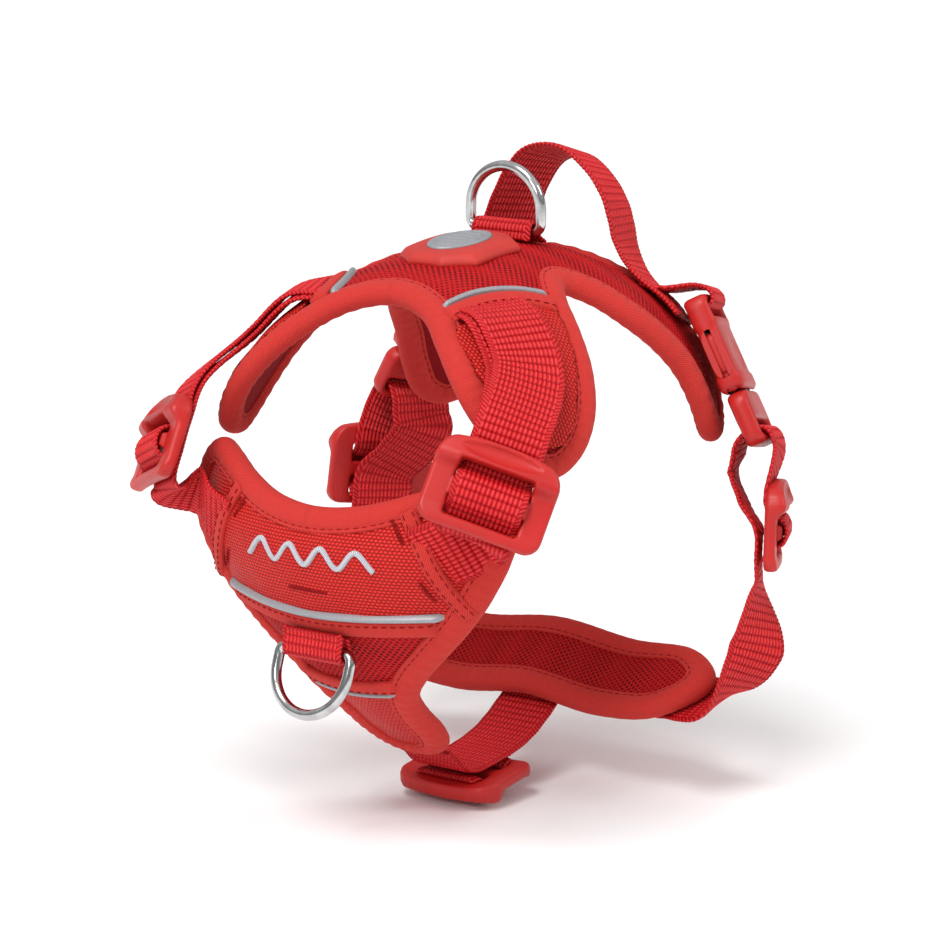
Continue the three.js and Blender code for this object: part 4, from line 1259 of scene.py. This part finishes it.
CHEST_RING_DOWN = 62 * MM
CHEST_RING_TILT = math.radians(20)
SEAM_DOWN = 56 * MM
chest_ring_frame = strap_frame(chest(CHEST_RING_DOWN, 0.0, 5.4 * MM),
                               (math.sin(CHEST_RING_TILT), 0, -math.cos(CHEST_RING_TILT)), ACROSS_DOG)


def chest_ring():
    """The ring on the chest, and the webbing that comes out of the seam and passes round its bar."""
    d_ring("chest_d_ring", chest_ring_frame, "chest_ring")
    turn = WIRE_RADIUS + GAP + WEBBING_THICKNESS / 2
    bend = turn * 0.7
    line = [chest(SEAM_DOWN - 1 * MM, 0.0, 3.6 * MM), chest(SEAM_DOWN + 1 * MM, 0.0, 4.2 * MM)]
    line += list(in_frame(chest_ring_frame, [
        [0, -0.5 * MM, -turn], [0, bend, -bend], [0, turn, 0], [0, bend, bend], [0, 0, turn]]))
    line.append(chest(CHEST_RING_DOWN - 3.4 * MM, 0.0, 1.4 * MM))
    webbing("chest_ring_webbing", line, ACROSS_DOG, ("chest_ring_tab",))


# ---- belly ----
UNDER_BAND = -PAD_DEPTH / 2 - 2.4 * MM
belly_slider_frame = strap_frame(np.array([1, 0, -110]) * MM, (-1, 0, 0.12), (0, -1, 0))


def belly_band():
    outline = belly_outline()
    half = PAD_DEPTH / 2
    made = pad("belly_cushion", outline, belly, PAD_DEPTH, 0.5 * MM, ["mesh", "lining"],
               ("belly_pad", "belly_backing"), relief=mesh_relief, top=half)
    binding("belly_edge", outline, belly, ("belly_binding",), half)


def belly_strap():
    """The strap from inside the chest plate, beneath its slider, to the underside of the belly band."""
    line = [chest(down * MM, 0.0, -PAD_DEPTH / 2) for down in (138.2, 144)]
    line += mm_in_frame(belly_slider_frame, [[0, -14, -7.6], [0, -8, -5.3], [0, 0, -4.9], [0, 14, -4.9]])
    line += [np.array([-24, 0, -100]) * MM]
    line += [belly(0.0, over * MM, UNDER_BAND - 1.4 * MM) for over in (6, 26)]
    webbing("belly_webbing", line, ACROSS_DOG, ("belly_strap",))
    webbing("belly_slider_doubled", wrap_points(belly_slider_frame), ACROSS_DOG, ("belly_slider_webbing",),
            body="belly_slider")
    slider("belly_adjuster", belly_slider_frame, "belly_slider")


# ---- buckles ----
# In the buckle's frame y runs from the socket's sewn end, over its mouth, to the plug's loop for the strap.
BUCKLE_STATION, BUCKLE_ANGLE, BUCKLE_PROUD = -66 * MM, 63, 8 * MM
BUCKLE_WIDTH, BUCKLE_DEPTH = 33 * MM, 10 * MM
MOUTH, SOCKET_LENGTH, PLUG_LENGTH = 14 * MM, 36 * MM, 20 * MM
SOCKET_END = MOUTH - SOCKET_LENGTH
PLUG_START = MOUTH + 0.5 * MM
PLUG_END = PLUG_START + PLUG_LENGTH
BUCKLE_BAR, BUCKLE_SLOT, BUCKLE_SLOT_WIDTH = 3.4 * MM, 5 * MM, 26.5 * MM
CAVITY_START = MOUTH - 24.5 * MM
CAVITY_HALF = 3.3 * MM
WINDOW_START = MOUTH - 23.3 * MM
WINDOW_END = MOUTH - 5 * MM
WINDOW_DEPTH = 15.3 * MM
TONGUE_HALF_DEPTH = 2.4 * MM
PRONG_LENGTH, PRONG_WIDTH, PRONG_HALF_DEPTH = 22.4 * MM, 4.5 * MM, 2.7 * MM
PRONG_OUT = 12.6 * MM
PRONG_RIB_AT = MOUTH - 14.5 * MM


def beside_buckle(x, angle):
    return back(BUCKLE_STATION + x, arc_of(BUCKLE_ANGLE + angle), 0.0)


buckle_frame = strap_frame(back(BUCKLE_STATION, arc_of(BUCKLE_ANGLE), BUCKLE_PROUD),
                           beside_buckle(0, 8) - beside_buckle(0, -12),
                           beside_buckle(MM, 0) - beside_buckle(-MM, 0))


def crown(x, flat=0.75):
    """How high a face crowned across stands at x, as a share of its height in the middle."""
    return 1 - (1 - flat) * (x / (BUCKLE_WIDTH / 2)) ** 4


def buckle_half(name, start, end, corner, slot_at, height, inside, body, replaces, mirror):
    """One half of the buckle as two shells that meet on its middle plane."""
    edge = rounded_box(BUCKLE_WIDTH, end - start, corner, 0, (start + end) / 2)
    slot = rounded_box(BUCKLE_SLOT_WIDTH, BUCKLE_SLOT, 1.5 * MM, 0, slot_at)
    for part, side in (("_face", 1), ("_back", -1)):
        place = on_frame(buckle_frame @ np.diag([1, 1, side, 1]))
        moulding(name + part, edge, height, inside, "plastic", place, body, replaces if side > 0 else (), mirror,
                 [slot], corners=(2.2 * MM, 0.0), relaxed=False)


def socket(side, mirror):
    """The half sewn to the back pad, hollow for the prongs and with a window at each side."""
    def height(x, y):
        collar = smoothstep((y - WINDOW_END + 1.5 * MM) / (1.5 * MM))
        rear = smoothstep((CAVITY_START + 1.5 * MM - y) / (3 * MM))
        dish = np.clip(1 - (x / (9 * MM)) ** 2 - ((y - 1 * MM) / (6 * MM)) ** 2, 0, 1)
        waist = 0.88 + 0.12 * np.maximum(collar, rear)
        return BUCKLE_DEPTH / 2 * crown(x) * waist - 0.5 * MM * np.sqrt(dish)

    def hollow(x, y):
        reach = (2 * y - WINDOW_START - WINDOW_END) / (WINDOW_END - WINDOW_START)
        rounded = np.sqrt(np.clip(1 - np.abs(reach) ** 5, 0, 1))
        window = np.where(np.abs(x) > WINDOW_DEPTH, rounded, 1.0)
        return np.where(y < CAVITY_START, 0.0, CAVITY_HALF * window)

    buckle_half(side + "_socket", SOCKET_END, MOUTH, 4.5 * MM, SOCKET_END + BUCKLE_BAR + BUCKLE_SLOT / 2, height,
                hollow, "root", (side + "_buckle_socket",), mirror)


def plug(side, mirror):
    """The half on the girth strap: its frame, a tongue and two sprung prongs with ribs for the fingers."""
    def height(x, y):
        return (BUCKLE_DEPTH / 2 - 0.9 * MM) * crown(x)

    body = side + "_plug"
    place = on_frame(buckle_frame)
    buckle_half(body, PLUG_START, PLUG_END, 5 * MM, PLUG_END - BUCKLE_BAR - BUCKLE_SLOT / 2, height, 0.0, body,
                (side + "_buckle_plug",), mirror)
    tongue = rounded_box(7 * MM, 18 * MM, 2 * MM, 0, PLUG_START - 8 * MM)
    moulding(body + "_tongue", tongue, TONGUE_HALF_DEPTH, -TONGUE_HALF_DEPTH, "plastic", place, body,
             mirror=mirror, corners=(1 * MM, 1 * MM))
    for end, out in (("front", 1), ("rear", -1)):
        prong = side + "_prong_" + end
        arm = rounded_box(PRONG_WIDTH, PRONG_LENGTH, 2.1 * MM, out * PRONG_OUT,
                          PLUG_START - PRONG_LENGTH / 2 - 0.5 * MM)
        rib = 1 - ((arm[:, 1] - PRONG_RIB_AT) / (7.6 * MM)) ** 4
        arm[:, 0] += out * 1.5 * MM * np.clip(rib, 0, 1) ** 0.5 * (out * arm[:, 0] > PRONG_OUT)
        moulding(side + "_prong_arm_" + end, arm, PRONG_HALF_DEPTH, -PRONG_HALF_DEPTH, "plastic", place, prong,
                 (prong,), mirror, corners=(2.2 * MM, 2.2 * MM))


def buckle_tab(side, mirror):
    bar_at = SOCKET_END + BUCKLE_BAR / 2
    turn = BUCKLE_DEPTH / 2 + GAP + WEBBING_THICKNESS / 2
    line = list(in_frame(buckle_frame, [
        [0, bar_at + 3.6 * MM, 0], [0, bar_at + 2.2 * MM, turn - 0.5 * MM], [0, bar_at - 2 * MM, turn],
        [0, bar_at - 5.5 * MM, turn - 4 * MM]]))
    line += [back(BUCKLE_STATION + 4 * MM, arc_of(angle), height * MM)
             for angle, height in ((37, 4.4), (33, 1.6))]
    webbing(side + "_tab_webbing", line, buckle_frame[:3, 0], (side + "_buckle_tab",), mirror)


girth_slider_frame = strap_frame(np.array([-63, 87, -22]) * MM, (0.12, 0.05, -1), (0.88, 0.47, 0.1))
# The strap's two layers round the plug's bar, from its middle, in mm.
PLUG_LOOP_OUT = [[0, -4.2, 1], [0, -3.3, 4.25], [0, -0.6, 5.55], [0, 4.5, 4.65]]
PLUG_LOOP_IN = [[0, -4.2, -1], [0, -3.4, -4.7], [-0.6, -1.2, -8], [-1.4, 2.8, -11]]
GIRTH_SLACK = [[-65.8, 68.5, -4.5], [-63, 75, -14.5]]
GIRTH_DOWN = [[-52, 87.5, -63], [-47, 76, -82]]


def girth_straps(side, mirror):
    """The strap from the plug, beneath its slider, to the belly band, and its other layer up to the slider."""
    plug_body, slider_body = side + "_plug", side + "_girth_slider"
    bar = np.array([0, PLUG_END - BUCKLE_BAR / 2, 0])
    outer, inner = (list(in_frame(buckle_frame, np.array(loop) * MM + bar))
                    for loop in (PLUG_LOOP_OUT, PLUG_LOOP_IN))
    across, plug_across = girth_slider_frame[:3, 0], buckle_frame[:3, 0]
    under = mm_in_frame(girth_slider_frame, [[0, 1, -5.4], [0, 10, -5.2], [0, 19, -4.6]])
    down = np.array(GIRTH_DOWN) * MM
    seat = [belly(y * MM, BELLY_WIDTH / 2, UNDER_BAND - 0.8 * MM) for y in (56, 32)]
    turning = [plug_across] * 4 + [across] * 5
    turning += [(0.85, -0.35, 0.1), (0.85, -0.25, -0.35), (0.85, 0, -0.5), (0.85, 0, -0.5)]
    points = [*inner, *np.array(GIRTH_SLACK) * MM, *under, *down, *seat]
    lower = webbing(side + "_girth_webbing", points, turning, (side + "_girth_strap",), mirror, None)
    on_side(under[2], mirror)
    on_side(down[1], mirror)
    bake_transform(lower)
    wrap = wrap_points(girth_slider_frame)
    doubled = webbing(side + "_girth_doubled", outer + wrap, [plug_across] * 4 + [across] * len(wrap),
                      (side + "_girth_return",), mirror, None)
    on_side(outer[3], mirror)
    on_side(wrap[0], mirror)
    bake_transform(doubled)
    slider(side + "_girth_adjuster", girth_slider_frame, slider_body, mirror)


camera()
floor()
sky()
lamps()
back_pad()
shoulder_trim()
badge()
top_ring()
handle()
shoulder_straps()
chest_pad()
chest_trim()
chest_pockets()
chest_bartacks()
embroidery()
chest_ring()
belly_band()
belly_strap()
for each_side, mirrored in SIDES:
    for build in (socket, plug, buckle_tab, girth_straps):
        build(each_side, mirrored)
